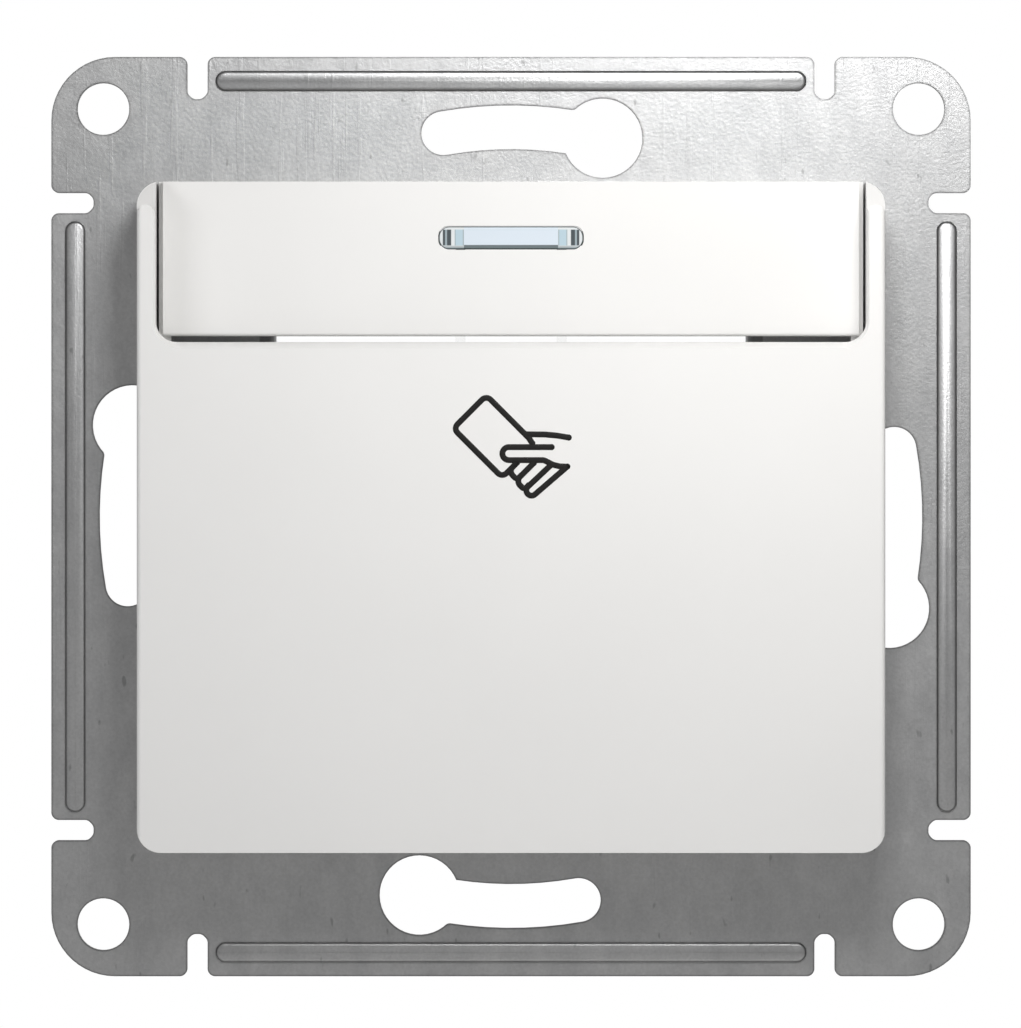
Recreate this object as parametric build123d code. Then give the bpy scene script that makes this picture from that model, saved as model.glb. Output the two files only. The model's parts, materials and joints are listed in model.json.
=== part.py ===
from build123d import *
import os
from math import atan, cos, degrees, radians, sin, tan

# Hotel key card switch: a flush wall device on a stamped steel support strap.
# Millimetres. X is to the right, Z is up, and the front looks along -Y.
# The origin is the centre of the strap's back face, which lies on the wall.

# Driving sizes

strap_side = 70.8
strap_thickness = 1.0
fixing_circle_share = 0.423729  # of the strap's side: box screws on a 60 mm circle
cover_overhang = 10.5           # cover beyond the base on each side, ahead of the claws
cover_height = 51.2
front_reach = 11.5              # front face of the cover ahead of the wall
recess_depth = 3.5              # card panel behind the cover's front face
card_slot = 1.2                 # room for a card 0.76 thick
ear_thickness = 1.4             # leaves a gap that a card 53.98 wide passes
slot_height = 13.3              # top edge of the cover's front wall
base_width = 36.0
base_depth = 22.0
base_top = 12.5
base_bottom = -23.5

overrun = 1.0                   # how far a cutter runs past what it cuts
touch_gap = 0.05                # between faces that meet on different bodies
small_gap = 0.1                 # between pieces that are fitted together
fit_gap = 0.05                  # radial, pins and screws in their holes

# Planes that several pieces share

strap_front = -strap_thickness
cover_front = -front_reach
panel_front = cover_front + recess_depth
pocket_front = panel_front - card_slot
cover_width = base_width + 2 * cover_overhang
cover_inner_half = cover_width / 2 - ear_thickness
fixing_circle_radius = fixing_circle_share * strap_side
base_wall = 1.6
base_half = base_width / 2
base_inner_back = base_depth - base_wall
window_half_width = base_half + 2 * small_gap
flange_outer = window_half_width + strap_thickness
skirt_gap = 0.17                # between the card frame's skirts and the cover's sides
skirt_thickness = 0.93
frame_half = cover_inner_half - skirt_gap
claw_room = frame_half - skirt_thickness - flange_outer


# Helpers


def block(x_low, x_high, y_low, y_high, z_low, z_high):
    """A box between two corners."""
    middle = Pos((x_low + x_high) / 2, (y_low + y_high) / 2, (z_low + z_high) / 2)
    return middle * Box(x_high - x_low, y_high - y_low, z_high - z_low)


def plate(sketch, front, back):
    """A sketch drawn in X and Z, given its thickness from front to back along Y."""
    return extrude(Plane.XZ.offset(-back) * sketch, amount=back - front, dir=(0, -1, 0))


def side_prism(sketch, x_low, x_high):
    """A sketch drawn in Y and Z, run from x_low to x_high."""
    return extrude(Plane.YZ.offset(x_low) * sketch, amount=x_high - x_low, dir=(1, 0, 0))


def upright_prism(sketch, z_low, z_high):
    """A sketch drawn in X and Y, run from z_low to z_high."""
    return extrude(Plane.XY.offset(z_low) * sketch, amount=z_high - z_low, dir=(0, 0, 1))


def post(radius, x, z, front, back):
    """A round bar along Y."""
    return Pos(x, (front + back) / 2, z) * Rot(90, 0, 0) * Cylinder(radius, back - front)


def square_bar(half, z, front, back):
    """A square bar along Y, centred on the middle plane."""
    return block(-half, half, front, back, z - half, z + half)


def bar_x(radius, y, z, half_length):
    """A round bar along X, centred on the middle plane."""
    return Pos(0, y, z) * Rot(0, 90, 0) * Cylinder(radius, 2 * half_length)


def bar_z(radius, x, y, z_low, z_high):
    """A round bar along Z."""
    return Pos(x, y, (z_low + z_high) / 2) * Cylinder(radius, z_high - z_low)


def both_sides(piece):
    """The piece and its mirror image across the middle plane."""
    return piece + mirror(piece, about=Plane.YZ)


def folded_leaf(half_width, thickness, front, back, fold, foot):
    """A spring leaf folded in a V: one leg flat on the back plane, and a free leg whose
    foot lies on the front plane. The fold and the foot are heights."""
    shank = (foot - fold) / abs(foot - fold) * thickness
    strip = Polygon(
        (back, foot + shank), (back, fold),
        (back - 2 * thickness, fold),
        (front, foot), (front, foot + 2 * shank),
        (front + thickness, foot + 2 * shank), (front + thickness, foot),
        (back - 2 * thickness, fold + 2 * shank), (back - thickness, fold + 2 * shank),
        (back - thickness, foot + shank),
        align=None,
    )
    return side_prism(strip, -half_width, half_width)


# Support strap

strap_corner_radius = 4.9
corner_hole_radius = 2.0
corner_hole_margin = 4.0
keyhole_slot_radius = 1.7
keyhole_entry_radius = 3.07
keyhole_entry_angle = 13.6
keyhole_end_angle = 10.0
notch_place_share = 0.3411       # of the strap's side
notch_width = 1.57
notch_depth = 3.25
notch_end_break = 0.45
notch_mouth_break = 0.35
bead_margin = 1.85
bead_notch_gap = 0.64           # between a bead's end and the notch beside it
bead_width = 1.5
bead_end_share = 0.3            # corner cut off a bead's end, as a share of its width
bead_height = 0.35
bead_groove_width = 0.8
window_half_height = 22.4
flange_half_length = 20.5
flange_depth = 6.0
bend_radius = 1.3
bend_relief = 1.2
clip_window_length = 5.0
clip_window_front = 2.6
clip_window_back = 4.8
clip_places = (-12.5, 9.5)
corner_hole_place = strap_side / 2 - corner_hole_margin
notch_place = notch_place_share * strap_side
bead_place = strap_side / 2 - bead_margin
bead_length = 2 * (notch_place - notch_width / 2 - bead_notch_gap)


def keyhole(turn):
    """A round entry that runs into a curved slot on the fixing circle."""
    start = 90 - keyhole_entry_angle
    arc = CenterArc((0, 0), fixing_circle_radius, start, keyhole_entry_angle + keyhole_end_angle)
    slot = SlotArc(arc, 2 * keyhole_slot_radius)
    entry_x = fixing_circle_radius * sin(radians(keyhole_entry_angle))
    entry_z = fixing_circle_radius * cos(radians(keyhole_entry_angle))
    entry = Pos(entry_x, entry_z) * Circle(keyhole_entry_radius)
    return Rot(0, 0, turn) * (slot + entry)


def edge_notches():
    """Two narrow cuts in the top edge, open at the edge, with broken corners."""
    half = strap_side / 2
    slot_height_total = notch_depth + overrun
    notch = Rectangle(notch_width, slot_height_total)
    notch = chamfer(notch.vertices().group_by(Axis.Y)[0], notch_end_break)
    centre = half - notch_depth + slot_height_total / 2
    return Pos(notch_place, centre) * notch + Pos(-notch_place, centre) * notch


def strap_outline():
    """The flat blank: outline, notches, keyholes, corner holes and window."""
    blank = RectangleRounded(strap_side, strap_side, strap_corner_radius)
    for quarter in range(4):
        turn = Rot(0, 0, 90 * quarter)
        blank -= turn * edge_notches()
        blank -= keyhole(90 * quarter)
        blank -= turn * Pos(corner_hole_place, corner_hole_place) * Circle(corner_hole_radius)
    half = strap_side / 2
    near = half - strap_corner_radius
    mouths = [
        corner
        for corner in blank.vertices()
        if max(abs(corner.X), abs(corner.Y)) > half - fit_gap
        and min(abs(corner.X), abs(corner.Y)) < near - fit_gap
    ]
    return chamfer(mouths, notch_mouth_break)


def window_cut():
    """The see-through window, wider where its sides bend back, with relief at their ends."""
    bend_line = window_half_width + bend_radius
    bends = Rectangle(2 * bend_line, 2 * (flange_half_length + bend_relief))
    return Rectangle(2 * window_half_width, 2 * window_half_height) + bends


def bead_outline(width):
    """A bead of that width seen from the front, with its end corners cut off."""
    length = bead_length - bead_width + width
    shape = Rectangle(length, width)
    shape = chamfer(shape.vertices(), bead_end_share * width)
    return Pos(0, bead_place) * shape


def pressed_bead():
    """The raised stiffening bead beside the top edge, with sloping sides."""
    bead = plate(bead_outline(bead_width), strap_front - bead_height, strap_front / 2)
    return chamfer(bead.faces().sort_by(Axis.Y)[0].edges(), bead_height)


def bead_groove():
    """The hollow that pressing the bead leaves in the back."""
    return plate(bead_outline(bead_groove_width), -bead_height, overrun)


# Spreading claws, their pivots and screws

claw_pivot_share = 0.25         # these shares are of the room between flange and skirt
claw_screw_share = 0.5882
claw_knuckle_share = 0.191
claw_pin_share = 0.103
claw_steel_share = 0.176
claw_tab_share = 0.735
claw_slot_share = 0.654
claw_screw_radius_share = 0.213
claw_screw_hole_share = 0.25
claw_screw_head_share = 0.353
claw_pivot_x = flange_outer + claw_pivot_share * claw_room
claw_pivot_y = 2.2
claw_half_height = 4.0
claw_knuckle_radius = claw_knuckle_share * claw_room
claw_steel = claw_steel_share * claw_room
claw_tab_front = 1.2            # tab ahead of the wall side, from the pivot
claw_tab_thickness = 1.0
claw_tab_reach = claw_tab_share * claw_room
claw_slot_half = 1.9
claw_slot_far = claw_slot_share * claw_room
claw_reach = 16.8
claw_foot = 2.2
claw_tooth = 0.9
claw_teeth = 4
claw_rail_slot_end = 9.4
claw_pin_radius = claw_pin_share * claw_room
claw_pin_overhang = 0.3
lug_gap = 0.3
lug_thickness = 1.0
lug_half_width = claw_knuckle_radius
lug_depth = 3.8
lug_blank = 3.6                 # length of strap folded out for each lug
claw_screw_x = flange_outer + claw_screw_share * claw_room
claw_screw_radius = claw_screw_radius_share * claw_room
claw_screw_hole_radius = claw_screw_hole_share * claw_room
claw_screw_length = 10.0
claw_screw_head_radius = claw_screw_head_share * claw_room
screw_head_height = 1.9
drive_width = 0.7
drive_depth = 0.9


def claw_lugs():
    """Two lugs folded back out of the strap on the right, with open seats for a claw's pin."""
    lugs = Part()
    inner = claw_half_height + lug_gap
    outer = inner + lug_thickness
    for side in (-1, 1):
        low, high = sorted((side * inner, side * outer))
        lug = block(
            claw_pivot_x - lug_half_width, claw_pivot_x + lug_half_width, 0, lug_depth, low, high
        )
        back_edges = lug.edges().filter_by(Axis.Z).group_by(Axis.Y)[-1]
        lugs += chamfer(back_edges, lug_half_width / 2)
    seat_radius = claw_pin_radius + fit_gap / 2
    seat = bar_z(seat_radius, claw_pivot_x, claw_pivot_y, -outer, outer)
    seat += block(
        claw_pivot_x - seat_radius, claw_pivot_x + seat_radius,
        claw_pivot_y, lug_depth + overrun, -outer, outer,
    )
    return lugs - seat


def lug_windows():
    """The openings left where the lugs were folded out, and the claw screw's hole."""
    inner = claw_half_height + lug_gap + lug_thickness
    cut = Pos(claw_screw_x, 0) * Circle(claw_screw_hole_radius)
    for side in (-1, 1):
        cut += Pos(claw_pivot_x, side * (inner + lug_blank / 2)) * Rectangle(
            2 * lug_half_width, lug_blank
        )
    return cut + mirror(cut, about=Plane.YZ)


def flange():
    """The right side of the window, bent back beside the base, with two clip windows."""
    centre_x = window_half_width + bend_radius
    centre_y = strap_front + bend_radius
    bend = Pos(centre_x, centre_y) * (Circle(bend_radius) - Circle(bend_radius - strap_thickness))
    corner = Rectangle(bend_radius, bend_radius)
    bend &= Pos(centre_x - bend_radius / 2, centre_y - bend_radius / 2) * corner
    flat = Rectangle(strap_thickness, flange_depth - centre_y)
    flat_x = window_half_width + strap_thickness / 2
    section = bend + Pos(flat_x, (centre_y + flange_depth) / 2) * flat
    wall = upright_prism(section, -flange_half_length, flange_half_length)
    for place in clip_places:
        wall -= block(
            window_half_width - overrun, window_half_width + strap_thickness + overrun,
            clip_window_front, clip_window_back,
            place - clip_window_length / 2, place + clip_window_length / 2,
        )
    return wall


def support_strap():
    blank = plate(strap_outline() - window_cut() - lug_windows(), strap_front, 0)
    strap = blank + both_sides(flange() + claw_lugs())
    for quarter in range(4):
        turn = Rot(0, 90 * quarter, 0)
        strap += turn * pressed_bead()
        strap -= turn * bead_groove()
    return strap


def claw_right():
    """A bell crank of sheet steel: tab for the screw, two rails and a toothed foot."""
    tab_back = claw_tab_front + claw_tab_thickness
    arm = block(-claw_steel / 2, claw_steel / 2, 0, claw_reach, -claw_half_height, claw_half_height)
    tab = block(0, claw_tab_reach, claw_tab_front, tab_back, -claw_half_height, claw_half_height)
    foot = block(
        0, claw_foot, claw_reach - claw_steel, claw_reach, -claw_half_height, claw_half_height
    )
    claw = arm + tab + foot
    claw += Cylinder(claw_knuckle_radius, 2 * claw_half_height)
    pitch = 2 * claw_half_height / claw_teeth
    tooth = Polygon((0, -pitch / 2), (claw_tooth, 0), (0, pitch / 2), align=None)
    for number in range(claw_teeth):
        place = -claw_half_height + pitch * (number + 1 / 2)
        claw += plate(Pos(claw_foot, place) * tooth, claw_reach - claw_steel, claw_reach)
    near = claw_knuckle_radius + overrun
    claw -= block(-near, claw_slot_far, -near, tab_back, -claw_slot_half, claw_slot_half)
    claw -= block(-near, near, 0, claw_rail_slot_end, -claw_slot_half, claw_slot_half)
    claw -= Cylinder(claw_pin_radius + fit_gap, 2 * (claw_half_height + overrun))
    return Pos(claw_pivot_x, claw_pivot_y, 0) * claw


def claw_pivot_pins():
    half = claw_half_height + lug_gap + lug_thickness + claw_pin_overhang
    return both_sides(bar_z(claw_pin_radius, claw_pivot_x, claw_pivot_y, -half, half))


def cross_recess(size, depth):
    """A cross-head drive, cut along +Z from the origin."""
    long_bar = Box(size, drive_width, depth, align=(Align.CENTER, Align.CENTER, Align.MIN))
    return long_bar + Rot(0, 0, 90) * long_bar


def pan_screw(head_radius, head_height, shank_radius, shank_length):
    """A pan-head screw along +Z, with the underside of its head at the origin."""
    head = Pos(0, 0, -head_height / 2) * Cylinder(head_radius, head_height)
    shank = Pos(0, 0, shank_length / 2) * Cylinder(shank_radius, shank_length)
    drive = Pos(0, 0, -head_height) * cross_recess(head_radius, drive_depth)
    return head + shank - drive


def claw_screw_right():
    screw = pan_screw(claw_screw_head_radius, screw_head_height, claw_screw_radius, claw_screw_length)
    return Pos(claw_screw_x, strap_front - touch_gap, 0) * Rot(-90, 0, 0) * screw


# Front cover

cover_corner_radius = 1.85
cover_side_radius = 0.4
cover_floor_thickness = 1.6
cover_rim = strap_front - 0.2 * strap_thickness
recess_corner_radius = 1.64
lip_bevel = 0.48
lip_bevel_taper = 31            # degrees from the way in
ear_bevel = 0.18
ear_slope_start = 23.15         # height at which the ears begin to slope back
ear_arch_radius = 0.6
snap_places = (-14.0, 7.0)
snap_length = 5.0
snap_front = -5.6
snap_back = -3.4
snap_engagement = 0.45
snap_clearance = 0.15


def cover_outside():
    """Rounded corners seen from the front, crossed with rounded sides seen from above."""
    face = RectangleRounded(cover_width, cover_height, cover_corner_radius)
    depth = cover_rim - cover_front
    from_above = Pos(0, (cover_front + cover_rim) / 2) * Rectangle(cover_width, depth)
    from_above = fillet(from_above.vertices().group_by(Axis.Y)[0], cover_side_radius)
    tall = upright_prism(from_above, -cover_height, cover_height)
    return plate(face, cover_front, cover_rim) & tall


def recess_outline(inset, bottom, corner):
    """The card recess seen from the front, open past the top of the cover."""
    top = cover_height / 2 + 2 * cover_corner_radius
    width = 2 * (cover_inner_half + inset)
    return Pos(0, (bottom + top) / 2) * RectangleRounded(width, top - bottom, corner)


def lip_bevel_cut():
    """The bevel along the slot, which tapers away round the recess's lower corners."""
    corner = recess_corner_radius + lip_bevel
    outline = recess_outline(ear_bevel, slot_height - lip_bevel, corner)
    # This plane looks inwards, so heights are turned over on it.
    inwards = Plane(origin=(0, cover_front, 0), x_dir=(1, 0, 0), z_dir=(0, 1, 0))
    depth = lip_bevel / tan(radians(lip_bevel_taper))
    return extrude(inwards * mirror(outline, about=Plane.XZ), amount=depth, taper=lip_bevel_taper)


def ear_slope_cut():
    """Slopes the top of both ears back, and leaves an arched end on each front face."""
    run = cover_height / 2 - ear_slope_start + overrun
    wedge = Polygon(
        (cover_front - overrun, ear_slope_start - overrun),
        (cover_front + run, ear_slope_start + run),
        (cover_front - overrun, ear_slope_start + run),
        align=None,
    )
    cut = side_prism(wedge, -cover_width, cover_width)
    ear_middle = cover_inner_half + ear_thickness / 2
    arch = Pos(ear_middle, ear_slope_start) * Circle(ear_arch_radius)
    keep = plate(arch, cover_front - overrun, cover_front + recess_depth)
    for side in (-1, 1):
        low, high = sorted((side * cover_inner_half, side * cover_width / 2))
        keep += block(
            low, high, cover_front - overrun, cover_front + overrun,
            ear_slope_start - overrun, ear_slope_start,
        )
    return cut - both_sides(keep)


def front_cover():
    cover = cover_outside()
    bottom = -cover_height / 2 + cover_floor_thickness
    cover -= block(
        -cover_inner_half, cover_inner_half, pocket_front, overrun, bottom, cover_height
    )
    cover -= plate(
        recess_outline(0, slot_height, recess_corner_radius), cover_front - overrun, overrun
    )
    cover -= lip_bevel_cut()
    cover -= ear_slope_cut()
    depth = snap_engagement + snap_clearance
    for place in snap_places:
        cover -= both_sides(block(
            cover_inner_half - overrun, cover_inner_half + depth,
            snap_front - snap_clearance, snap_back + snap_clearance,
            place - snap_length / 2 - snap_clearance, place + snap_length / 2 + snap_clearance,
        ))
    return cover


# Lever that the card pushes back

lever_pivot_y = -4.8
lever_pivot_z = 7.0
lever_half_width = 3.0
lever_front = -5.8
lever_back = -4.0
lever_bottom = -10.2
lever_knuckle_radius = 1.5
nose_reach = -8.95
nose_top = -4.0
nose_tip_top = -7.4
nose_tip_bottom = -8.4
nose_tip_radius = 0.4
lever_pin_radius = 0.8
lever_swing = 5.5               # degrees, no card to card fully in
lever_window_half = 3.4
lever_window_top = -3.4
lever_window_bottom = -11.5


def card_lever():
    """A hanging lever with a ramped nose that stands in the card's way."""
    profile = Polygon(
        (lever_back, lever_pivot_z),
        (lever_front, lever_pivot_z),
        (lever_front, nose_top),
        (nose_reach, nose_tip_top),
        (nose_reach, nose_tip_bottom),
        (lever_front, lever_bottom),
        (lever_back, lever_bottom),
        align=None,
    )
    profile = fillet(profile.vertices().group_by(Axis.X)[0], nose_tip_radius)
    lever = side_prism(profile, -lever_half_width, lever_half_width)
    lever += bar_x(lever_knuckle_radius, lever_pivot_y, lever_pivot_z, lever_half_width)
    hole = bar_x(lever_pin_radius + fit_gap, lever_pivot_y, lever_pivot_z, cover_width / 2)
    return lever - hole


# Card frame: backing panel, pocket wall, pocket floor and skirts in one moulding

panel_thickness = 1.4
panel_half_width = 26.6
panel_bottom = 13.8
panel_edge_radius = 0.25
ledge_depth = 0.9               # side skirts set back behind the panel's face
top_skirt_thickness = 1.2
pocket_wall_top = 13.1
pocket_lead_in = 0.6
pocket_floor_top = -22.7
rib_place = window_half_width + 0.8 * strap_thickness
rib_thickness = 1.0
cheek_thickness = 1.4
cheek_gap = 0.5
cheek_radius = 2.3
frame_screw_margin = 2.6        # from the base's side wall
frame_screw_z = 2.0
frame_screw_radius = 1.4
frame_screw_head_radius = 2.8
frame_screw_length = 9.0        # reach behind the wall plane
boss_half = 2.6
screw_clearance = 0.2
guide_centre_x = 0.0
guide_centre_z = 21.3
guide_width = 11.02
guide_height = 1.73
guide_corner_radius = 0.78
cap_front = -1.6
frame_screw_x = base_half - base_wall - frame_screw_margin
panel_back = panel_front + panel_thickness
frame_top = cover_height / 2
frame_floor = -cover_height / 2 + cover_floor_thickness + small_gap


def screw_places():
    """The two frame screws, seen from the front."""
    return [(side * frame_screw_x, frame_screw_z) for side in (-1, 1)]


def backing_panel():
    """The recessed panel above the slot, with the light guide's opening."""
    width = 2 * panel_half_width
    face = Pos(0, (panel_bottom + frame_top) / 2) * Rectangle(width, frame_top - panel_bottom)
    panel = plate(face, panel_front, panel_back)
    low_edge = panel.faces().sort_by(Axis.Y)[0].edges().group_by(Axis.Z)[0]
    panel = fillet(low_edge, panel_edge_radius)
    opening = RectangleRounded(
        guide_width + small_gap, guide_height + small_gap, guide_corner_radius
    )
    opening = Pos(guide_centre_x, guide_centre_z) * opening
    return panel - plate(opening, panel_front - overrun, panel_back + overrun)


def pocket_wall():
    """The wall behind the card, with a lead-in edge and the lever's window."""
    wall = block(
        -frame_half, frame_half, panel_front, panel_back, frame_floor, pocket_wall_top
    )
    lead = wall.faces().sort_by(Axis.Y)[0].edges().group_by(Axis.Z)[-1]
    wall = chamfer(lead, pocket_lead_in)
    return wall - block(
        -lever_window_half, lever_window_half, panel_front - overrun, panel_back + overrun,
        lever_window_bottom, lever_window_top,
    )


def frame_skirts():
    """Side, top and floor walls that stand on the strap."""
    skirt_front = panel_front + ledge_depth
    skirts = both_sides(block(
        frame_half - skirt_thickness, frame_half, skirt_front, strap_front,
        frame_floor, frame_top,
    ))
    skirts += block(
        -frame_half, frame_half, skirt_front, strap_front,
        frame_top - top_skirt_thickness, frame_top,
    )
    skirts += block(
        -frame_half, frame_half, pocket_front + small_gap, strap_front,
        frame_floor, pocket_floor_top,
    )
    ribs = block(
        rib_place - rib_thickness / 2, rib_place + rib_thickness / 2,
        panel_back, strap_front, frame_floor, pocket_wall_top - pocket_lead_in,
    )
    return skirts + both_sides(ribs)


def lever_cheeks():
    """Two bearing cheeks for the lever's pin, behind the pocket wall."""
    inner = lever_half_width + cheek_gap
    outer = inner + cheek_thickness
    cheek = block(
        inner, outer, panel_back, lever_pivot_y,
        lever_pivot_z - cheek_radius, lever_pivot_z + cheek_radius,
    )
    nose = Pos((inner + outer) / 2, lever_pivot_y, lever_pivot_z)
    cheek += nose * Rot(0, 90, 0) * Cylinder(cheek_radius, cheek_thickness)
    cheek &= block(
        inner, outer, panel_back, cap_front,
        lever_pivot_z - 2 * cheek_radius, lever_pivot_z + 2 * cheek_radius,
    )
    hole = bar_x(lever_pin_radius + fit_gap / 2, lever_pivot_y, lever_pivot_z, outer + overrun)
    return both_sides(cheek) - hole


def snap_noses():
    """Ramps on the side skirts that hold the cover."""
    noses = Part()
    reach = skirt_gap + snap_engagement
    middle = (snap_front + snap_back) / 2
    ramp = Polygon(
        (frame_half, snap_front), (frame_half + reach, middle),
        (frame_half + reach, snap_back), (frame_half, snap_back),
        align=None,
    )
    for place in snap_places:
        noses += upright_prism(ramp, place - snap_length / 2, place + snap_length / 2)
    return both_sides(noses)


def card_frame():
    frame = backing_panel() + pocket_wall() + frame_skirts() + snap_noses() + lever_cheeks()
    for x, z in screw_places():
        frame += block(
            x - boss_half, x + boss_half, panel_back, 0, z - boss_half, z + boss_half
        )
    head_depth = frame_screw_head_radius - frame_screw_radius
    for x, z in screw_places():
        frame -= post(frame_screw_radius + screw_clearance, x, z, panel_front - overrun, overrun)
        seat = Cone(
            frame_screw_radius + screw_clearance, frame_screw_head_radius + screw_clearance,
            head_depth,
        )
        frame -= Pos(x, panel_front + head_depth / 2, z) * Rot(90, 0, 0) * seat
    return frame


def frame_screws():
    """Countersunk screws through the frame and the cap into the base's pillars."""
    head_depth = frame_screw_head_radius - frame_screw_radius
    reach = frame_screw_length - panel_front - head_depth
    head = Cone(frame_screw_head_radius, frame_screw_radius, head_depth)
    screw = Pos(0, 0, head_depth / 2) * head
    screw += Pos(0, 0, head_depth + reach / 2) * Cylinder(frame_screw_radius, reach)
    screw -= cross_recess(frame_screw_head_radius, head_depth / 2)
    return Part() + [
        Pos(x, panel_front + small_gap, z) * Rot(-90, 0, 0) * screw for x, z in screw_places()
    ]


def lever_pivot_pin():
    half = lever_half_width + cheek_gap + cheek_thickness
    return bar_x(lever_pin_radius, lever_pivot_y, lever_pivot_z, half)


# Indicator light guide and its board

guide_face_depth = 1.5
guide_leg_place = 3.93
guide_leg_width = 0.75
guide_leg_height = 1.25
led_y = 4.0
guide_facet = 0.9
latch_place = 4.9
latch_width = 0.55
latch_height = 1.1
latch_hook = 0.3
latch_hook_length = 0.9
board_half_width = 11.0
board_front = 2.0
board_back_share = 0.686275     # of the depth inside the base
board_back = board_back_share * base_inner_back
board_low = 8.8
board_thickness = 0.8
led_width = 1.6
led_depth = 1.4
led_height = 0.9
resistor_half = 0.55
resistor_length = 3.6
resistor_y = 9.0
resistor_lead_half = 0.2
resistor_lead_reach = 3.0


def light_guide_leg():
    """A leg that runs back from the lens and turns down to the lamp."""
    low = guide_centre_z - guide_leg_height / 2
    high = guide_centre_z + guide_leg_height / 2
    back = led_y + guide_leg_height / 2
    profile = Polygon(
        (panel_front + guide_face_depth, high),
        (back - guide_facet, high),
        (back, high - guide_facet),
        (back, base_top + small_gap),
        (back - guide_leg_height, base_top + small_gap),
        (back - guide_leg_height, low),
        (panel_front + guide_face_depth, low),
        align=None,
    )
    half = guide_leg_width / 2
    return side_prism(profile, guide_leg_place - half, guide_leg_place + half)


def guide_latch():
    """A spring latch with a wedge that grips behind the panel."""
    start = panel_front + guide_face_depth
    hook_front = panel_back + small_gap
    low = guide_centre_z - latch_height / 2
    high = guide_centre_z + latch_height / 2
    inner = latch_place - latch_width / 2
    outer = guide_width / 2
    hook = Polygon(
        (inner, start), (outer, start), (outer, hook_front),
        (outer + latch_hook, hook_front),
        (inner + latch_width, hook_front + latch_hook_length),
        (inner, hook_front + latch_hook_length),
        align=None,
    )
    return upright_prism(hook, low, high)


def indicator_light_guide():
    face = RectangleRounded(guide_width, guide_height, guide_corner_radius)
    lens = plate(face, panel_front, panel_front + guide_face_depth)
    lens = Pos(0, 0, guide_centre_z) * lens
    return Pos(guide_centre_x, 0, 0) * (lens + both_sides(light_guide_leg() + guide_latch()))


def indicator_board():
    return block(
        -board_half_width, board_half_width, board_front, board_back,
        board_low, board_low + board_thickness,
    )


def indicator_leds():
    """Two small lamps, one under each leg of the light guide."""
    top = board_low + board_thickness
    lamp = block(
        guide_leg_place - led_width / 2, guide_leg_place + led_width / 2,
        led_y - led_depth / 2, led_y + led_depth / 2, top, top + led_height,
    )
    return both_sides(chamfer(lamp.edges().group_by(Axis.Z)[-1], led_height / 4))


def board_resistor():
    height = board_low + board_thickness + resistor_half
    body = block(
        -resistor_length / 2, resistor_length / 2, resistor_y - resistor_half,
        resistor_y + resistor_half, height - resistor_half, height + resistor_half,
    )
    near = resistor_y - resistor_lead_half
    far = resistor_y + resistor_lead_half
    reach = resistor_lead_reach
    lead = block(0, reach, near, far, height - resistor_lead_half, height + resistor_lead_half)
    lead += block(
        reach - 2 * resistor_lead_half, reach, near, far, board_low + board_thickness, height
    )
    return body + both_sides(lead)


# Contacts: a common yoke with a rocker, and two fixed contacts

contact_steel = 0.8
rocker_share = 0.30147          # these shares are of the depth inside the base
common_share = 0.612745
rocker_pivot_y = rocker_share * base_inner_back
rocker_pivot_z = 5.5
rocker_half_width = 2.5
rocker_top = 7.5
rocker_bottom = -10.5
trunnion_radius = 0.6
trunnion_reach = 4.2
contact_z = -8.5
rivet_radius = 1.5
rivet_height = 0.6
yoke_inner = 3.0
yoke_cheek = 1.0
yoke_edge = 1.15                # sheet left in front of the trunnions
yoke_front = rocker_pivot_y - yoke_edge
yoke_half_height = 1.8
common_plane = common_share * base_inner_back
terminal_pitch_share = 0.305556  # of the base's width
strip_width_share = 0.2         # half a strip's width, of the pitch
terminal_pitch = terminal_pitch_share * base_width
strip_half_width = strip_width_share * terminal_pitch
strip_bottom = -16.5
strip_thickness = 1.2
contact_plate_top = -6.8
contact_plate_overlap = 2.0
plunger_z = -3.0
plunger_half = 1.3
plunger_collar_half = 2.1
plunger_collar_front = 2.1
plunger_collar_back = 3.0
plunger_end_break = 0.8
plunger_gap = 0.15

rocker_front = rocker_pivot_y - contact_steel / 2
rocker_back = rocker_pivot_y + contact_steel / 2
plunger_arm = lever_pivot_z - plunger_z
plunger_travel = plunger_arm * radians(lever_swing)
rocker_arm = rocker_pivot_z - plunger_z
rocker_swing = degrees(atan(plunger_travel / rocker_arm))
contact_arm = rocker_pivot_z - contact_z
closed_plane = rocker_front - 2 * rivet_height - touch_gap - contact_steel


def contact_rocker():
    """The moving contact blade, hung on two trunnions."""
    blade = block(
        -rocker_half_width, rocker_half_width, rocker_front, rocker_back,
        rocker_bottom, rocker_top,
    )
    blade = chamfer(blade.edges().filter_by(Axis.Y), contact_steel)
    return blade + bar_x(trunnion_radius, rocker_pivot_y, rocker_pivot_z, trunnion_reach)


def moving_contact_rivet():
    front = post(rivet_radius, 0, contact_z, rocker_front - rivet_height, rocker_front)
    back = post(rivet_radius, 0, contact_z, rocker_back, rocker_back + rivet_height)
    return Part() + [front, back]


def open_face():
    """Where the open contact's face stands, just past the rocker's swing."""
    reach = contact_arm + rivet_radius
    swing = radians(rocker_swing)
    offset = contact_steel / 2 + rivet_height
    return rocker_pivot_y + offset * cos(swing) + reach * sin(swing) + touch_gap


open_plane = open_face() + rivet_height


def fixed_contact_rivets():
    closed_front = closed_plane + contact_steel
    closed = post(
        rivet_radius, 0, contact_z, closed_front, rocker_front - rivet_height - touch_gap
    )
    opened = post(rivet_radius, 0, contact_z, open_face(), open_plane)
    return Part() + [closed, opened]


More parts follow.
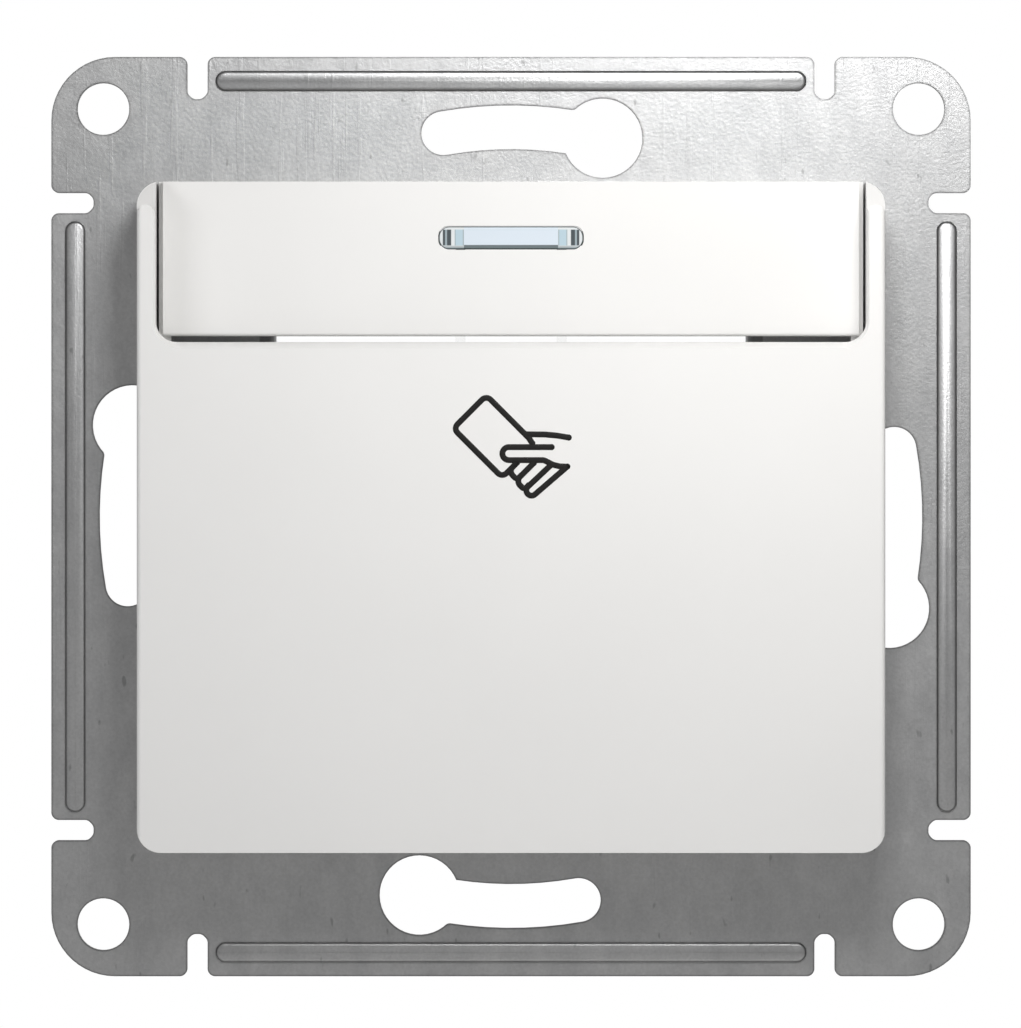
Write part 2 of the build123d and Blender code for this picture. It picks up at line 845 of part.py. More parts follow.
def contact_strip(side, plane):
    """A bent brass strip: contact plate across, riser down, and bar to the terminal."""
    centre = side * terminal_pitch
    edges = sorted((-side * contact_plate_overlap, centre + side * strip_half_width))
    back = plane + contact_steel
    strip = block(edges[0], edges[1], plane, back, rocker_bottom, contact_plate_top)
    strip += block(
        centre - strip_half_width, centre + strip_half_width, plane, back,
        strip_bottom, contact_plate_top,
    )
    strip += block(
        centre - strip_half_width, centre + strip_half_width, plane, base_inner_back,
        strip_bottom, strip_bottom + strip_thickness,
    )
    return strip


def common_contact():
    """A yoke with open seats for the rocker, a post down the middle, and a terminal bar."""
    yoke_outer = yoke_inner + yoke_cheek
    low = rocker_pivot_z - yoke_half_height
    high = rocker_pivot_z + yoke_half_height
    back = common_plane + contact_steel
    yoke = block(-yoke_outer, yoke_outer, common_plane, back, low, high)
    yoke += both_sides(block(yoke_inner, yoke_outer, yoke_front, back, low, high))
    yoke += block(-strip_half_width, strip_half_width, common_plane, back, strip_bottom, high)
    yoke += block(
        -strip_half_width, strip_half_width, common_plane, base_inner_back,
        strip_bottom, strip_bottom + strip_thickness,
    )
    seat_radius = trunnion_radius + fit_gap
    reach = yoke_outer + overrun
    seat = bar_x(seat_radius, rocker_pivot_y, rocker_pivot_z, reach)
    seat += block(
        -reach, reach, rocker_pivot_y - seat_radius, rocker_pivot_y + seat_radius,
        rocker_pivot_z, high + overrun,
    )
    return yoke - seat


def switch_plunger():
    """The square pin that carries the lever's push through the cap to the rocker."""
    front = lever_back + plunger_gap
    back = rocker_front - plunger_gap
    pin = square_bar(plunger_half, plunger_z, front, back)
    ends = pin.edges().group_by(Axis.Y)
    pin = chamfer(ends[0] + ends[-1], plunger_end_break)
    return pin + square_bar(
        plunger_collar_half, plunger_z, plunger_collar_front, plunger_collar_back
    )


# Springs

lever_spring_fold = -5.4
lever_spring_foot = -9.2
lever_spring_half_width = 2.0
contact_spring_fold = 3.4
contact_spring_foot = -3.0
contact_spring_half_width = 1.5
leaf_thickness = 0.2


def lever_return_spring():
    return folded_leaf(
        lever_spring_half_width, leaf_thickness, lever_back + touch_gap, cap_front,
        lever_spring_fold, lever_spring_foot,
    )


def contact_spring():
    return folded_leaf(
        contact_spring_half_width, leaf_thickness, rocker_back + touch_gap, common_plane,
        contact_spring_fold, contact_spring_foot,
    )


# Base, cap and terminals

base_corner_chamfer = 3.0
base_top_chamfer = 1.2
base_back_break = 0.8
pillar_half = 2.2
pilot_depth = 10.0
cap_edge_gap = 0.3
cap_lip_depth = 1.2
cap_lip_wall = 1.0
plunger_hole_gap = 0.1
plunger_guide_half = 2.4
plunger_guide_back = 1.9
screw_share = 0.813725          # these shares are of the depth inside the base
clamp_depth_share = 0.137255
clamp_width_share = 0.318182    # half a clamp's width, of the pitch
screw_y = screw_share * base_inner_back
clamp_front = screw_y - clamp_depth_share * base_inner_back
clamp_back = screw_y + clamp_depth_share * base_inner_back
clamp_half_width = clamp_width_share * terminal_pitch
clamp_wall = 1.0
clamp_floor = 1.2
clamp_bottom = -19.0
clamp_top = -11.0
terminal_head_radius = 2.5
terminal_head_height = 1.6
terminal_shank_radius = 1.45
terminal_head_back = -21.6
driver_window_half = 2.7
shelf_gap = 0.4
shelf_front = clamp_front - shelf_gap
shelf_low = -21.5
shelf_high = -20.7
shelf_slot_half = 1.7
partition_thickness = 1.2
partition_top = -9.6
wire_hole_radius = 1.6
rail_inner = 9.4
rail_outer = 12.4
light_hole_half = 0.9
clip_nose_depth = 0.9
terminal_names = ("closed", "common", "open")

strip_top = strip_bottom + strip_thickness
wire_height = (strip_top + clamp_top - clamp_wall) / 2


def terminal_x(number):
    """The three terminals, from left to right."""
    return (number - 1) * terminal_pitch


def base_outline(inset):
    """The base seen from the front, drawn in by inset all round."""
    height = base_top - base_bottom - 2 * inset
    shape = Rectangle(base_width - 2 * inset, height)
    shape = Pos(0, (base_top + base_bottom) / 2) * shape
    shape = chamfer(shape.vertices().group_by(Axis.Y)[0], base_corner_chamfer)
    return chamfer(shape.vertices().group_by(Axis.Y)[-1], base_top_chamfer)


def base_pillars():
    """Pillars for the frame screws, which stand against the side walls."""
    wall = base_half - base_wall
    return both_sides(block(
        frame_screw_x - pillar_half, wall, 0, base_inner_back,
        frame_screw_z - pillar_half, frame_screw_z + pillar_half,
    ))


def base_inside_ribs():
    """Terminal shelf and partitions, beds for the side contacts, and the board's rails."""
    wall = base_half - base_wall
    ribs = block(-wall, wall, shelf_front, base_inner_back, shelf_low, shelf_high)
    for number in range(len(terminal_names)):
        x = terminal_x(number)
        ribs -= block(x - shelf_slot_half, x + shelf_slot_half, shelf_front - overrun,
                      screw_y + shelf_slot_half, shelf_low - overrun, shelf_high + overrun)
    for side, plane in ((-1, closed_plane), (1, open_plane)):
        x = side * terminal_pitch
        ribs += block(x - strip_half_width, x + strip_half_width, plane, shelf_front,
                      base_bottom + base_wall, strip_bottom)
    partition = terminal_pitch / 2
    ribs += both_sides(block(
        partition - partition_thickness / 2, partition + partition_thickness / 2,
        shelf_front, base_inner_back, shelf_low, partition_top,
    ))
    ribs += both_sides(block(
        rail_inner, rail_outer, board_front, base_inner_back,
        board_low - partition_thickness, board_low,
    ))
    return ribs


def base_clips():
    """Wedge noses on the sides that lock into the strap's bent flanges."""
    clips = Part()
    nose = Polygon(
        (base_half, clip_window_back - small_gap),
        (base_half + clip_nose_depth, clip_window_front + small_gap),
        (base_half, clip_window_front + small_gap),
        align=None,
    )
    length = clip_window_length - 2 * cap_edge_gap
    for place in clip_places:
        clips += upright_prism(nose, place - length / 2, place + length / 2)
    return both_sides(clips)


def switch_base():
    base = plate(base_outline(0), 0, base_depth)
    base = chamfer(base.faces().sort_by(Axis.Y)[-1].edges(), base_back_break)
    base -= plate(base_outline(base_wall), -overrun, base_inner_back)
    base += base_pillars() + base_inside_ribs() + base_clips()
    for x, z in screw_places():
        base -= post(frame_screw_radius + fit_gap, x, z, -overrun, pilot_depth)
    for number in range(len(terminal_names)):
        x = terminal_x(number)
        base -= post(wire_hole_radius, x, wire_height, base_inner_back - overrun,
                     base_depth + overrun)
        base -= block(x - driver_window_half, x + driver_window_half,
                      screw_y - driver_window_half, screw_y + driver_window_half,
                      base_bottom - overrun, base_bottom + base_wall + small_gap)
    for side in (-1, 1):
        x = side * guide_leg_place
        base -= block(x - light_hole_half, x + light_hole_half,
                      led_y - light_hole_half, led_y + light_hole_half,
                      base_top - base_wall - overrun, base_top + overrun)
    return base


def base_cap():
    """The plate that closes the base, with windows for the card frame's two bosses."""
    half = window_half_width - cap_edge_gap
    low = -window_half_height + cap_edge_gap
    cap = block(-half, half, cap_front, 0, low, base_top)
    lip_gap = base_wall + cap_edge_gap
    lip = plate(base_outline(lip_gap) - base_outline(lip_gap + cap_lip_wall), 0, cap_lip_depth)
    keep_out = pillar_half + cap_edge_gap
    cap += lip - both_sides(block(
        frame_screw_x - keep_out, base_half, -overrun, base_depth,
        frame_screw_z - keep_out, frame_screw_z + keep_out,
    ))
    cap += square_bar(plunger_guide_half, plunger_z, 0, plunger_guide_back)
    cap -= square_bar(
        plunger_half + plunger_hole_gap, plunger_z, cap_front - overrun, base_depth
    )
    window = boss_half + cap_edge_gap
    for x, z in screw_places():
        cap -= block(x - window, x + window, cap_front - overrun, base_depth,
                     z - window, z + window)
    return cap


def terminal_clamp(number):
    """A lift clamp: a square brass loop that the screw draws down over the wire."""
    x = terminal_x(number)
    inner = clamp_half_width - clamp_wall
    loop = block(
        x - clamp_half_width, x + clamp_half_width, clamp_front, clamp_back,
        clamp_bottom, clamp_top,
    )
    loop -= block(
        x - inner, x + inner, clamp_front - overrun, clamp_back + overrun,
        clamp_bottom + clamp_floor, clamp_top - clamp_wall,
    )
    corners = loop.edges().filter_by(Axis.Y).group_by(SortBy.DISTANCE)[-1]
    loop = chamfer(corners, clamp_wall / 2)
    return loop - bar_z(terminal_shank_radius + fit_gap, x, screw_y, clamp_bottom - overrun,
                        clamp_bottom + clamp_floor + overrun)


def terminal_screw(number):
    length = strip_bottom - small_gap - terminal_head_back
    screw = pan_screw(
        terminal_head_radius, terminal_head_height, terminal_shank_radius, length
    )
    return Pos(terminal_x(number), screw_y, terminal_head_back) * screw


def board_leads():
    """Stiff leads from the board to the common yoke and to the open contact."""
    yoke_top = rocker_pivot_z + yoke_half_height
    to_common = block(
        yoke_inner, yoke_inner + yoke_cheek, common_plane, common_plane + contact_steel,
        yoke_top, board_low,
    )
    open_x = rail_inner - strip_half_width
    to_open = block(
        open_x - yoke_cheek / 2, open_x + yoke_cheek / 2, open_plane,
        open_plane + contact_steel, contact_plate_top, board_low,
    )
    return Part() + [to_common, to_open]


def mirrored(piece):
    return mirror(piece, about=Plane.YZ)


pieces = {
    "support_strap": support_strap(),
    "claw_pivot_pins": claw_pivot_pins(),
    "claw_right": claw_right(),
    "claw_left": mirrored(claw_right()),
    "claw_screw_right": claw_screw_right(),
    "claw_screw_left": mirrored(claw_screw_right()),
    "front_cover": front_cover(),
    "card_frame": card_frame(),
    "frame_screws": frame_screws(),
    "card_lever": card_lever(),
    "lever_pivot_pin": lever_pivot_pin(),
    "lever_return_spring": lever_return_spring(),
    "indicator_light_guide": indicator_light_guide(),
    "indicator_board": indicator_board(),
    "indicator_leds": indicator_leds(),
    "board_resistor": board_resistor(),
    "board_leads": board_leads(),
    "base_cap": base_cap(),
    "switch_base": switch_base(),
    "switch_plunger": switch_plunger(),
    "contact_rocker": contact_rocker(),
    "moving_contact_rivet": moving_contact_rivet(),
    "contact_spring": contact_spring(),
    "common_contact": common_contact(),
    "closed_contact": contact_strip(-1, closed_plane),
    "open_contact": contact_strip(1, open_plane),
    "fixed_contact_rivets": fixed_contact_rivets(),
}
for number, name in enumerate(terminal_names):
    pieces["terminal_clamp_" + name] = terminal_clamp(number)
    pieces["terminal_screw_" + name] = terminal_screw(number)

os.makedirs("parts", exist_ok=True)
for name, piece in pieces.items():
    piece.label = name
    export_step(piece, "parts/" + name + ".step")
print("plunger travel", round(plunger_travel, 4), "mm, rocker swing", round(rocker_swing, 3))
print("wires enter at height", round(wire_height, 3))
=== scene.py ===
# %% [markdown]
# # A hotel key card switch, seen straight from the front
#
# The switch sits on a square pressed steel strap. A glossy white cover with two thin ears
# stands on it, a card slips in behind the cover's front wall, and a clear bar in the panel
# above the slot glows in the dark. This lesson takes the measured solids as they are, rounds
# their edges, adds the small things that a solid model leaves out, and gives every piece the
# finish of its own material. Lengths are in millimetres and are turned into metres by MM.

# %% Load the measured solids
import json
from math import cos, pi, radians, sin, tan

import bpy
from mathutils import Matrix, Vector

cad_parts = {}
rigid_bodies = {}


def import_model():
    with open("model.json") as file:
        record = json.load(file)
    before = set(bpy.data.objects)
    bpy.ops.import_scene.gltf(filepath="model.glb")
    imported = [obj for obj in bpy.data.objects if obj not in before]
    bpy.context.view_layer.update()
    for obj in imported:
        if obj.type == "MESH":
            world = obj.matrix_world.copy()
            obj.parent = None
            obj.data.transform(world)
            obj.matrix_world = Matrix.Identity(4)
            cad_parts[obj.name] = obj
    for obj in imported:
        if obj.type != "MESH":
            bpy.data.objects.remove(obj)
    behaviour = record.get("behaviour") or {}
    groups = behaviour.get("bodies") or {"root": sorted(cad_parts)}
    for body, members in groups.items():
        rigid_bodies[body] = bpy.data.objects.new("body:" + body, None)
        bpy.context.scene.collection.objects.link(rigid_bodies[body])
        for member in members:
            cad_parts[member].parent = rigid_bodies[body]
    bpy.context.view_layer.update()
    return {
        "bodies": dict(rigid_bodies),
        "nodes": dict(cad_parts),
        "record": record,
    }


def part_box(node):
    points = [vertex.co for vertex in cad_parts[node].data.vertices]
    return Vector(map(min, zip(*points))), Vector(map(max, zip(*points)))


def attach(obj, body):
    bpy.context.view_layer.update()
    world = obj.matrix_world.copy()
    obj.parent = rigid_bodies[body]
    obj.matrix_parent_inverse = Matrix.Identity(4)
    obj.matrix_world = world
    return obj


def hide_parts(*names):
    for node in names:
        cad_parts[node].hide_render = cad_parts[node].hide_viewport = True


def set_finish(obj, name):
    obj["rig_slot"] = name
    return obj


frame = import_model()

MM = 0.001


# %% [markdown]
# ## Picking things up
#
# Every operator in Blender works on what is selected, and the solids come in selected. So each
# step starts by dropping everything, and then takes one piece in hand. Within a piece, edges and
# faces are picked by the way they run or look.


# %% Taking a piece, or a part of it, in hand
def drop_everything():
    if bpy.context.object and bpy.context.object.mode != "OBJECT":
        bpy.ops.object.mode_set(mode="OBJECT")
    bpy.ops.object.select_all(action="DESELECT")


def take(piece):
    drop_everything()
    piece.select_set(True)
    bpy.context.view_layer.objects.active = piece


def set_place(piece):
    """Moves the object's place into its mesh, as the solids have it."""
    take(piece)
    bpy.ops.object.transform_apply(location=True, rotation=True, scale=True)


def join(pieces, name):
    """Makes one piece of several."""
    take(pieces[0])
    for piece in pieces:
        piece.select_set(True)
    bpy.ops.object.join()
    bpy.context.object.name = name
    return bpy.context.object


def drop_edges():
    """Lets go of all that is picked in the piece in hand, so that edges can be picked."""
    bpy.ops.object.mode_set(mode="EDIT")
    bpy.ops.mesh.select_mode(type="EDGE")
    bpy.ops.mesh.select_all(action="DESELECT")
    bpy.ops.object.mode_set(mode="OBJECT")


def runs_along(piece, edge, direction, least=0.99):
    start, end = (piece.data.vertices[corner].co for corner in edge.vertices)
    return abs((end - start).normalized().dot(direction)) > least


def edges_along(piece, direction):
    """Picks the edges that run this way, and stays in edit mode."""
    drop_edges()
    for edge in piece.data.edges:
        edge.select = runs_along(piece, edge, direction)
    bpy.ops.object.mode_set(mode="EDIT")


def faces_looking(piece, direction, least=0.9):
    """Picks the faces that look this way, and stays in edit mode."""
    bpy.ops.object.mode_set(mode="EDIT")
    bpy.ops.mesh.select_all(action="DESELECT")
    bpy.ops.object.mode_set(mode="OBJECT")
    for face in piece.data.polygons:
        face.select = face.normal.dot(direction) > least
    bpy.ops.object.mode_set(mode="EDIT")


# %% [markdown]
# ## Rounded edges
#
# A solid model has edges of no width, and no real moulding or pressing has. A moulded edge is
# rounded by the mould, and a stamped one is rolled over by the punch, and both catch a thin
# line of light. The solids come as loose triangles, so a copy is merged, its flat faces are
# dissolved into whole ones, and its sharp edges are beveled. The copy then stands for the solid.


# %% Rounding the edges of a copy
rounding_steps = 3
sharp_turn = 32                # degrees, from here on an edge is rounded
square_turn = 89               # degrees, just less than a square edge turns
flat_turn = 1                  # degrees, up to here two faces are one flat
merge_distance = 0.002
coarse_turns = (0.4, 0.95)     # radians, between flats that stand for a small arc
outline_roundings = {"support_strap": 0.2}
through_sheet = Vector((0, 1, 0))


def slot_of(node):
    return next(
        part["material_slot"] for part in frame["record"]["subparts"] if part["node"] == node
    )


def body_of(node):
    parent = frame["nodes"][node].parent
    return next(name for name, body in frame["bodies"].items() if parent is body)


def smooth(piece, turn=50):
    """Shades a piece smooth, except at edges that turn further than this many degrees."""
    take(piece)
    bpy.ops.object.shade_smooth_by_angle(angle=radians(turn))


def round_edges(piece, width):
    """Rounds every sharp edge, and leaves flat faces flat."""
    smooth(piece, square_turn)
    bpy.ops.object.modifier_add(type="BEVEL")
    bevel = piece.modifiers[-1]
    bevel.width = width * MM
    bevel.segments = rounding_steps
    bevel.limit_method = "ANGLE"
    bevel.angle_limit = radians(sharp_turn)
    bevel.miter_outer = "MITER_ARC"
    bevel.use_clamp_overlap = True
    bevel.harden_normals = True
    bpy.ops.object.modifier_apply(modifier=bevel.name)


def round_outline(piece, width):
    """Rounds the edges through a sheet where its outline turns by coarse flats."""
    bpy.ops.object.mode_set(mode="OBJECT")
    normals = {}
    for face in piece.data.polygons:
        for key in face.edge_keys:
            normals.setdefault(key, []).append(face.normal.copy())
    drop_edges()
    least, most = coarse_turns
    for edge in piece.data.edges:
        beside = normals[edge.key]
        if len(beside) == 2 and runs_along(piece, edge, through_sheet):
            edge.select = least < beside[0].angle(beside[1]) < most
    bpy.ops.object.mode_set(mode="EDIT")
    bpy.ops.mesh.bevel(offset=width * MM, segments=rounding_steps, affect="EDGES")


def rounded_copy(node, name, width):
    """A merged copy of a solid with rounded edges, which stands for it."""
    solid = frame["nodes"][node]
    piece = bpy.data.objects.new(name, solid.data.copy())
    bpy.context.collection.objects.link(piece)
    take(piece)
    bpy.ops.object.mode_set(mode="EDIT")
    bpy.ops.mesh.customdata_custom_splitnormals_clear()
    bpy.ops.mesh.select_all(action="SELECT")
    bpy.ops.mesh.remove_doubles(threshold=merge_distance * MM)
    bpy.ops.mesh.dissolve_limited(angle_limit=radians(flat_turn))
    if node in outline_roundings:
        round_outline(piece, outline_roundings[node])
    bpy.ops.mesh.select_mode(type="FACE")
    bpy.ops.mesh.select_all(action="DESELECT")
    bpy.ops.mesh.select_face_by_sides(number=4, type="GREATER")
    bpy.ops.mesh.quads_convert_to_tris(ngon_method="BEAUTY")
    bpy.ops.object.mode_set(mode="OBJECT")
    round_edges(piece, width)
    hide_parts(node)
    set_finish(piece, slot_of(node))
    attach(piece, body_of(node))
    print(name, "faces", len(piece.data.polygons))
    return piece


# %% [markdown]
# ## The mouldings and pressings
#
# The cover's edges are crisp, with about a tenth of a millimetre of rounding, and so are the
# card frame's behind it. The strap asks for more, but its rims are rounded only as far as its
# smallest edges allow, so its finish paints a dark line of shade along each rolled rim later on.
# The hidden pieces behind get the same care, because a part on a shelf is turned over and looked
# at.

# %% Copies of the pieces with flat faces and crisp edges
edge_widths = {    # the name of each solid's copy, and the width of its rounded edges
    "front_cover": ("cover_moulding", 0.1),
    "card_frame": ("frame_moulding", 0.13),
    "support_strap": ("strap_pressing", 0.18),
    "indicator_light_guide": ("light_guide_bar", 0.06),
    "card_lever": ("lever_moulding", 0.12),
    "base_cap": ("cap_moulding", 0.12),
    "switch_base": ("base_tub", 0.15),
    "claw_right": ("claw_right_pressing", 0.12),
    "claw_left": ("claw_left_pressing", 0.12),
    "switch_plunger": ("plunger_moulding", 0.1),
    "contact_rocker": ("rocker_blade", 0.08),
    "common_contact": ("common_strip", 0.08),
    "closed_contact": ("closed_strip", 0.08),
    "open_contact": ("open_strip", 0.08),
    "terminal_clamp_closed": ("clamp_closed_loop", 0.12),
    "terminal_clamp_common": ("clamp_common_loop", 0.12),
    "terminal_clamp_open": ("clamp_open_loop", 0.12),
    "indicator_leds": ("lamp_bodies", 0.08),
    "board_resistor": ("resistor_block", 0.08),
    "indicator_board": ("board_plate", 0.06),
}
new_pieces = {
    name: rounded_copy(node, name, width) for node, (name, width) in edge_widths.items()
}

# %% [markdown]
# ## Stiffening beads
#
# Four long beads are pressed into the strap near its edges and make the thin sheet stiff. Each is
# a low ridge with round ends. A box gets its round ends by beveling the edges that run through
# the sheet, then its front rim is beveled to a soft ridge. One bead is made at the top, and the
# others are turned copies of it.

# %% Pressing the beads
strap_front = -1.0
bead_place = 33.55
bead_length = 45.5
bead_width = 1.56
bead_height = 0.36
bead_end_share = 0.495         # rounding of the ends, of the bead's width
bead_rim_share = 0.75          # rounding of the ridge, of the bead's height
bead_end_steps = 10
bead_rim_steps = 4
bead_count = 4


def pressed_bead():
    """The bead beside the strap's top edge."""
    drop_everything()
    bpy.ops.mesh.primitive_cube_add(
        size=MM, location=(0, strap_front * MM, bead_place * MM),
        scale=(bead_length, 2 * bead_height, bead_width),
    )
    bead = bpy.context.object
    set_place(bead)
    edges_along(bead, through_sheet)
    bpy.ops.mesh.bevel(
        offset=bead_end_share * bead_width * MM, segments=bead_end_steps, affect="EDGES"
    )
    bpy.ops.mesh.select_mode(type="FACE")
    faces_looking(bead, -through_sheet)
    bpy.ops.mesh.region_to_loop()
    bpy.ops.mesh.bevel(
        offset=bead_rim_share * bead_height * MM, segments=bead_rim_steps, affect="EDGES"
    )
    drop_everything()
    return bead


top_bead = pressed_bead()
beads = [top_bead]
for number in range(1, bead_count):
    bead = top_bead.copy()
    bead.data = top_bead.data.copy()
    bpy.context.collection.objects.link(bead)
    bead.rotation_euler = (0, number * 2 * pi / bead_count, 0)
    set_place(bead)
    beads.append(bead)
strap_beads = join(beads, "strap_beads")
smooth(strap_beads)
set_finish(strap_beads, "zinc_steel")
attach(strap_beads, "device")
new_pieces["strap_beads"] = strap_beads
print("beads:", len(beads), "faces:", len(strap_beads.data.polygons))

# %% [markdown]
# ## Screws
#
# The claw screws and the terminal screws are small pan-head screws. The thread is one V-shaped
# turn, drawn as a short line beside the axis and wound by the Screw modifier, and both ends are
# cut off square. The head is a drum whose upper rim is beveled round, with a cross cut into it.
# One function makes them all along Z, with the underside of the head at the origin.


# %% Making a pan-head screw
thread_pitch = 0.5
thread_depth_share = 0.55      # of the pitch
thread_profile = [             # steps outwards, of the depth, and up, of the pitch
    (0, 0.15), (1, 0.3), (0, 0.1), (-1, 0.3), (0, 0.15),
]
thread_flats = 20              # in one turn
thread_turn = 38               # degrees, edges that turn further stay crisp
thread_merge_distance = 0.005
spare_turns = 3
shank_in_head = 0.2
head_flats = 40
head_rim_share = 0.5           # rounding of the rim, of the head's height
head_rim_steps = 5
drive_width = 0.7
drive_depth = 0.9


def single_point(at):
    """A mesh of one point, in edit mode, ready to be drawn on from."""
    drop_everything()
    bpy.ops.mesh.primitive_plane_add(size=MM, location=(0, 0, 0))
    drawing = bpy.context.object
    bpy.ops.object.mode_set(mode="EDIT")
    bpy.ops.mesh.select_mode(type="VERT")
    bpy.ops.mesh.select_all(action="SELECT")
    bpy.ops.mesh.merge(type="CENTER")
    bpy.ops.transform.translate(value=[length * MM for length in at])
    return drawing


def cut_square(height, direction):
    """Cuts a thread off at this height and closes the cut."""
    bpy.ops.mesh.select_all(action="SELECT")
    bpy.ops.mesh.bisect(
        plane_co=(0, 0, height * MM), plane_no=(0, 0, direction), clear_outer=True, use_fill=True
    )


def threaded_shank(radius, length):
    depth = thread_depth_share * thread_pitch
    shank = single_point((radius - depth, 0, -thread_pitch))
    for out, up in thread_profile:
        step = (out * depth * MM, 0, up * thread_pitch * MM)
        bpy.ops.mesh.extrude_region_move(TRANSFORM_OT_translate={"value": step})
    bpy.ops.object.mode_set(mode="OBJECT")
    bpy.ops.object.modifier_add(type="SCREW")
    winding = shank.modifiers[-1]
    winding.axis = "Z"
    winding.angle = 2 * pi
    winding.screw_offset = thread_pitch * MM
    winding.iterations = int(length / thread_pitch) + spare_turns
    winding.steps = thread_flats
    winding.render_steps = thread_flats
    winding.use_merge_vertices = True
    winding.use_normal_calculate = True
    bpy.ops.object.modifier_apply(modifier=winding.name)
    bpy.ops.object.mode_set(mode="EDIT")
    bpy.ops.mesh.select_all(action="SELECT")
    bpy.ops.mesh.remove_doubles(threshold=thread_merge_distance * MM)
    cut_square(-shank_in_head, -1)
    cut_square(length, 1)
    bpy.ops.mesh.select_all(action="SELECT")
    bpy.ops.mesh.normals_make_consistent(inside=False)
    bpy.ops.object.mode_set(mode="OBJECT")
    return shank


def pan_head(radius, height):
    drop_everything()
    bpy.ops.mesh.primitive_cylinder_add(
        vertices=head_flats, radius=radius * MM, depth=height * MM,
        location=(0, 0, -height / 2 * MM),
    )
    head = bpy.context.object
    set_place(head)
    faces_looking(head, Vector((0, 0, -1)))
    bpy.ops.mesh.region_to_loop()
    bpy.ops.mesh.bevel(
        offset=head_rim_share * height * MM, segments=head_rim_steps, affect="EDGES"
    )
    drop_everything()
    for turn in (0, pi / 2):
        bpy.ops.mesh.primitive_cube_add(
            size=MM, location=(0, 0, -height * MM), rotation=(0, 0, turn),
            scale=(radius, drive_width, 2 * drive_depth),
        )
        cutter = bpy.context.object
        take(head)
        bpy.ops.object.modifier_add(type="BOOLEAN")
        cut = head.modifiers[-1]
        cut.object = cutter
        cut.operation = "DIFFERENCE"
        bpy.ops.object.modifier_apply(modifier=cut.name)
        bpy.data.objects.remove(cutter)
    return head


def make_screw(node, head_radius, head_height, shank_radius, length, under_head, turn):
    """A finished screw for a solid, turned, with the underside of its head at a place."""
    head = pan_head(head_radius, head_height)
    shank = threaded_shank(shank_radius, length)
    screw = join([head, shank], node + "_threaded")
    screw.location = [along * MM for along in under_head]
    screw.rotation_euler = turn
    set_place(screw)
    smooth(screw, thread_turn)
    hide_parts(node)
    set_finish(screw, slot_of(node))
    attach(screw, body_of(node))
    new_pieces[screw.name] = screw


# %% Setting the screws in place
claw_head_radius, claw_head_height, claw_shank_radius = 2.4, 1.9, 1.448
terminal_head_radius, terminal_head_height, terminal_shank_radius = 2.5, 1.6, 1.45

for side in ("right", "left"):
    node = "claw_screw_" + side
    low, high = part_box(node)
    middle = (low + high) / 2 / MM
    under_head = low.y / MM + claw_head_height
    make_screw(
        node, claw_head_radius, claw_head_height, claw_shank_radius,
        length=high.y / MM - under_head, under_head=(middle.x, under_head, 0),
        turn=(-pi / 2, 0, 0),
    )
for contact in ("closed", "common", "open"):
    node = "terminal_screw_" + contact
    low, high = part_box(node)
    middle = (low + high) / 2 / MM
    under_head = low.z / MM + terminal_head_height
    make_screw(
        node, terminal_head_radius, terminal_head_height, terminal_shank_radius,
        length=high.z / MM - under_head, under_head=(middle.x, middle.y, under_head),
        turn=(0, 0, 0),
    )
print("screws made:", sum("threaded" in name for name in new_pieces))

# %% [markdown]
# ## The printed sign
#
# A plain sign on the cover shows a hand putting a card in. Pad printing lays down a film of ink
# a few hundredths of a millimetre thick with lines of one width. Each line is drawn here as a
# path with rounded corners, given its width by a curve's bevel, and pressed flat. A round drop
# of ink closes each end, as the pen's tip does in the drawing. The points are measured from the
# middle of the picture, to the right and up.

# %% Drawing the sign's lines
picture_middle = (-0.04, 0.2)  # across and up, in the frame
cover_face = -11.5
line_width = 0.476
ink_thickness = 0.03
line_steps = 3                 # in a quarter of a line's round section
corner_steps = 6               # in one rounded corner
most_reach_share = 0.499       # of a straight stretch, taken up by the arc at its end
shortest_run = 0.001
drop_segments, drop_rings = 20, 10
sign_lines = [                 # the corners of each line, and the radius that rounds them
    # the card
    ([(1.66, 5.38), (1.39, 5.79), (-1.84, 9.03), (-4.36, 6.51), (-0.63, 2.78), (0.50, 3.91)],
     0.46),
    # the back of the hand
    ([(1.18, 6.07), (2.67, 6.05), (3.52, 5.97), (4.43, 5.82)], 0.9),
    # the thumb
    ([(3.13, 5.09), (-0.62, 5.09), (-0.62, 4.10), (2.54, 4.10), (3.26, 3.74), (3.77, 3.62),
      (4.32, 3.61)], 0.495),
    # three fingers
    ([(0.50, 3.91), (-0.16, 3.26), (0.49, 2.61), (0.82, 2.94)], 0.455),
    ([(1.77, 3.88), (0.40, 2.51), (1.05, 1.86), (1.38, 2.19)], 0.455),
    ([(4.32, 3.61), (1.57, 1.24), (1.05, 1.82), (3.09, 3.74)], 0.385),
]


def rounded_path(corners, radius):
    """The points of a path whose corners are rounded by arcs."""
    path = [Vector(corners[0])]
    for before, corner, after in zip(corners, corners[1:], corners[2:]):
        corner = Vector(corner)
        to_before = Vector(before) - corner
        to_after = Vector(after) - corner
        back = to_before.normalized()
        on = to_after.normalized()
        half_turn = back.angle(on) / 2
        shorter = min(to_after.length, to_before.length)
        reach = min(radius / tan(half_turn), most_reach_share * shorter)
        arc_radius = reach * tan(half_turn)
        centre = corner + (back + on).normalized() * (arc_radius / sin(half_turn))
        start = corner + back * reach - centre
        sweep = start.angle_signed(corner + on * reach - centre)
        for step in range(corner_steps + 1):
            turn = -sweep * step / corner_steps
            path.append(centre + Vector((
                start.x * cos(turn) - start.y * sin(turn),
                start.x * sin(turn) + start.y * cos(turn),
            )))
    path.append(Vector(corners[-1]))
    return path


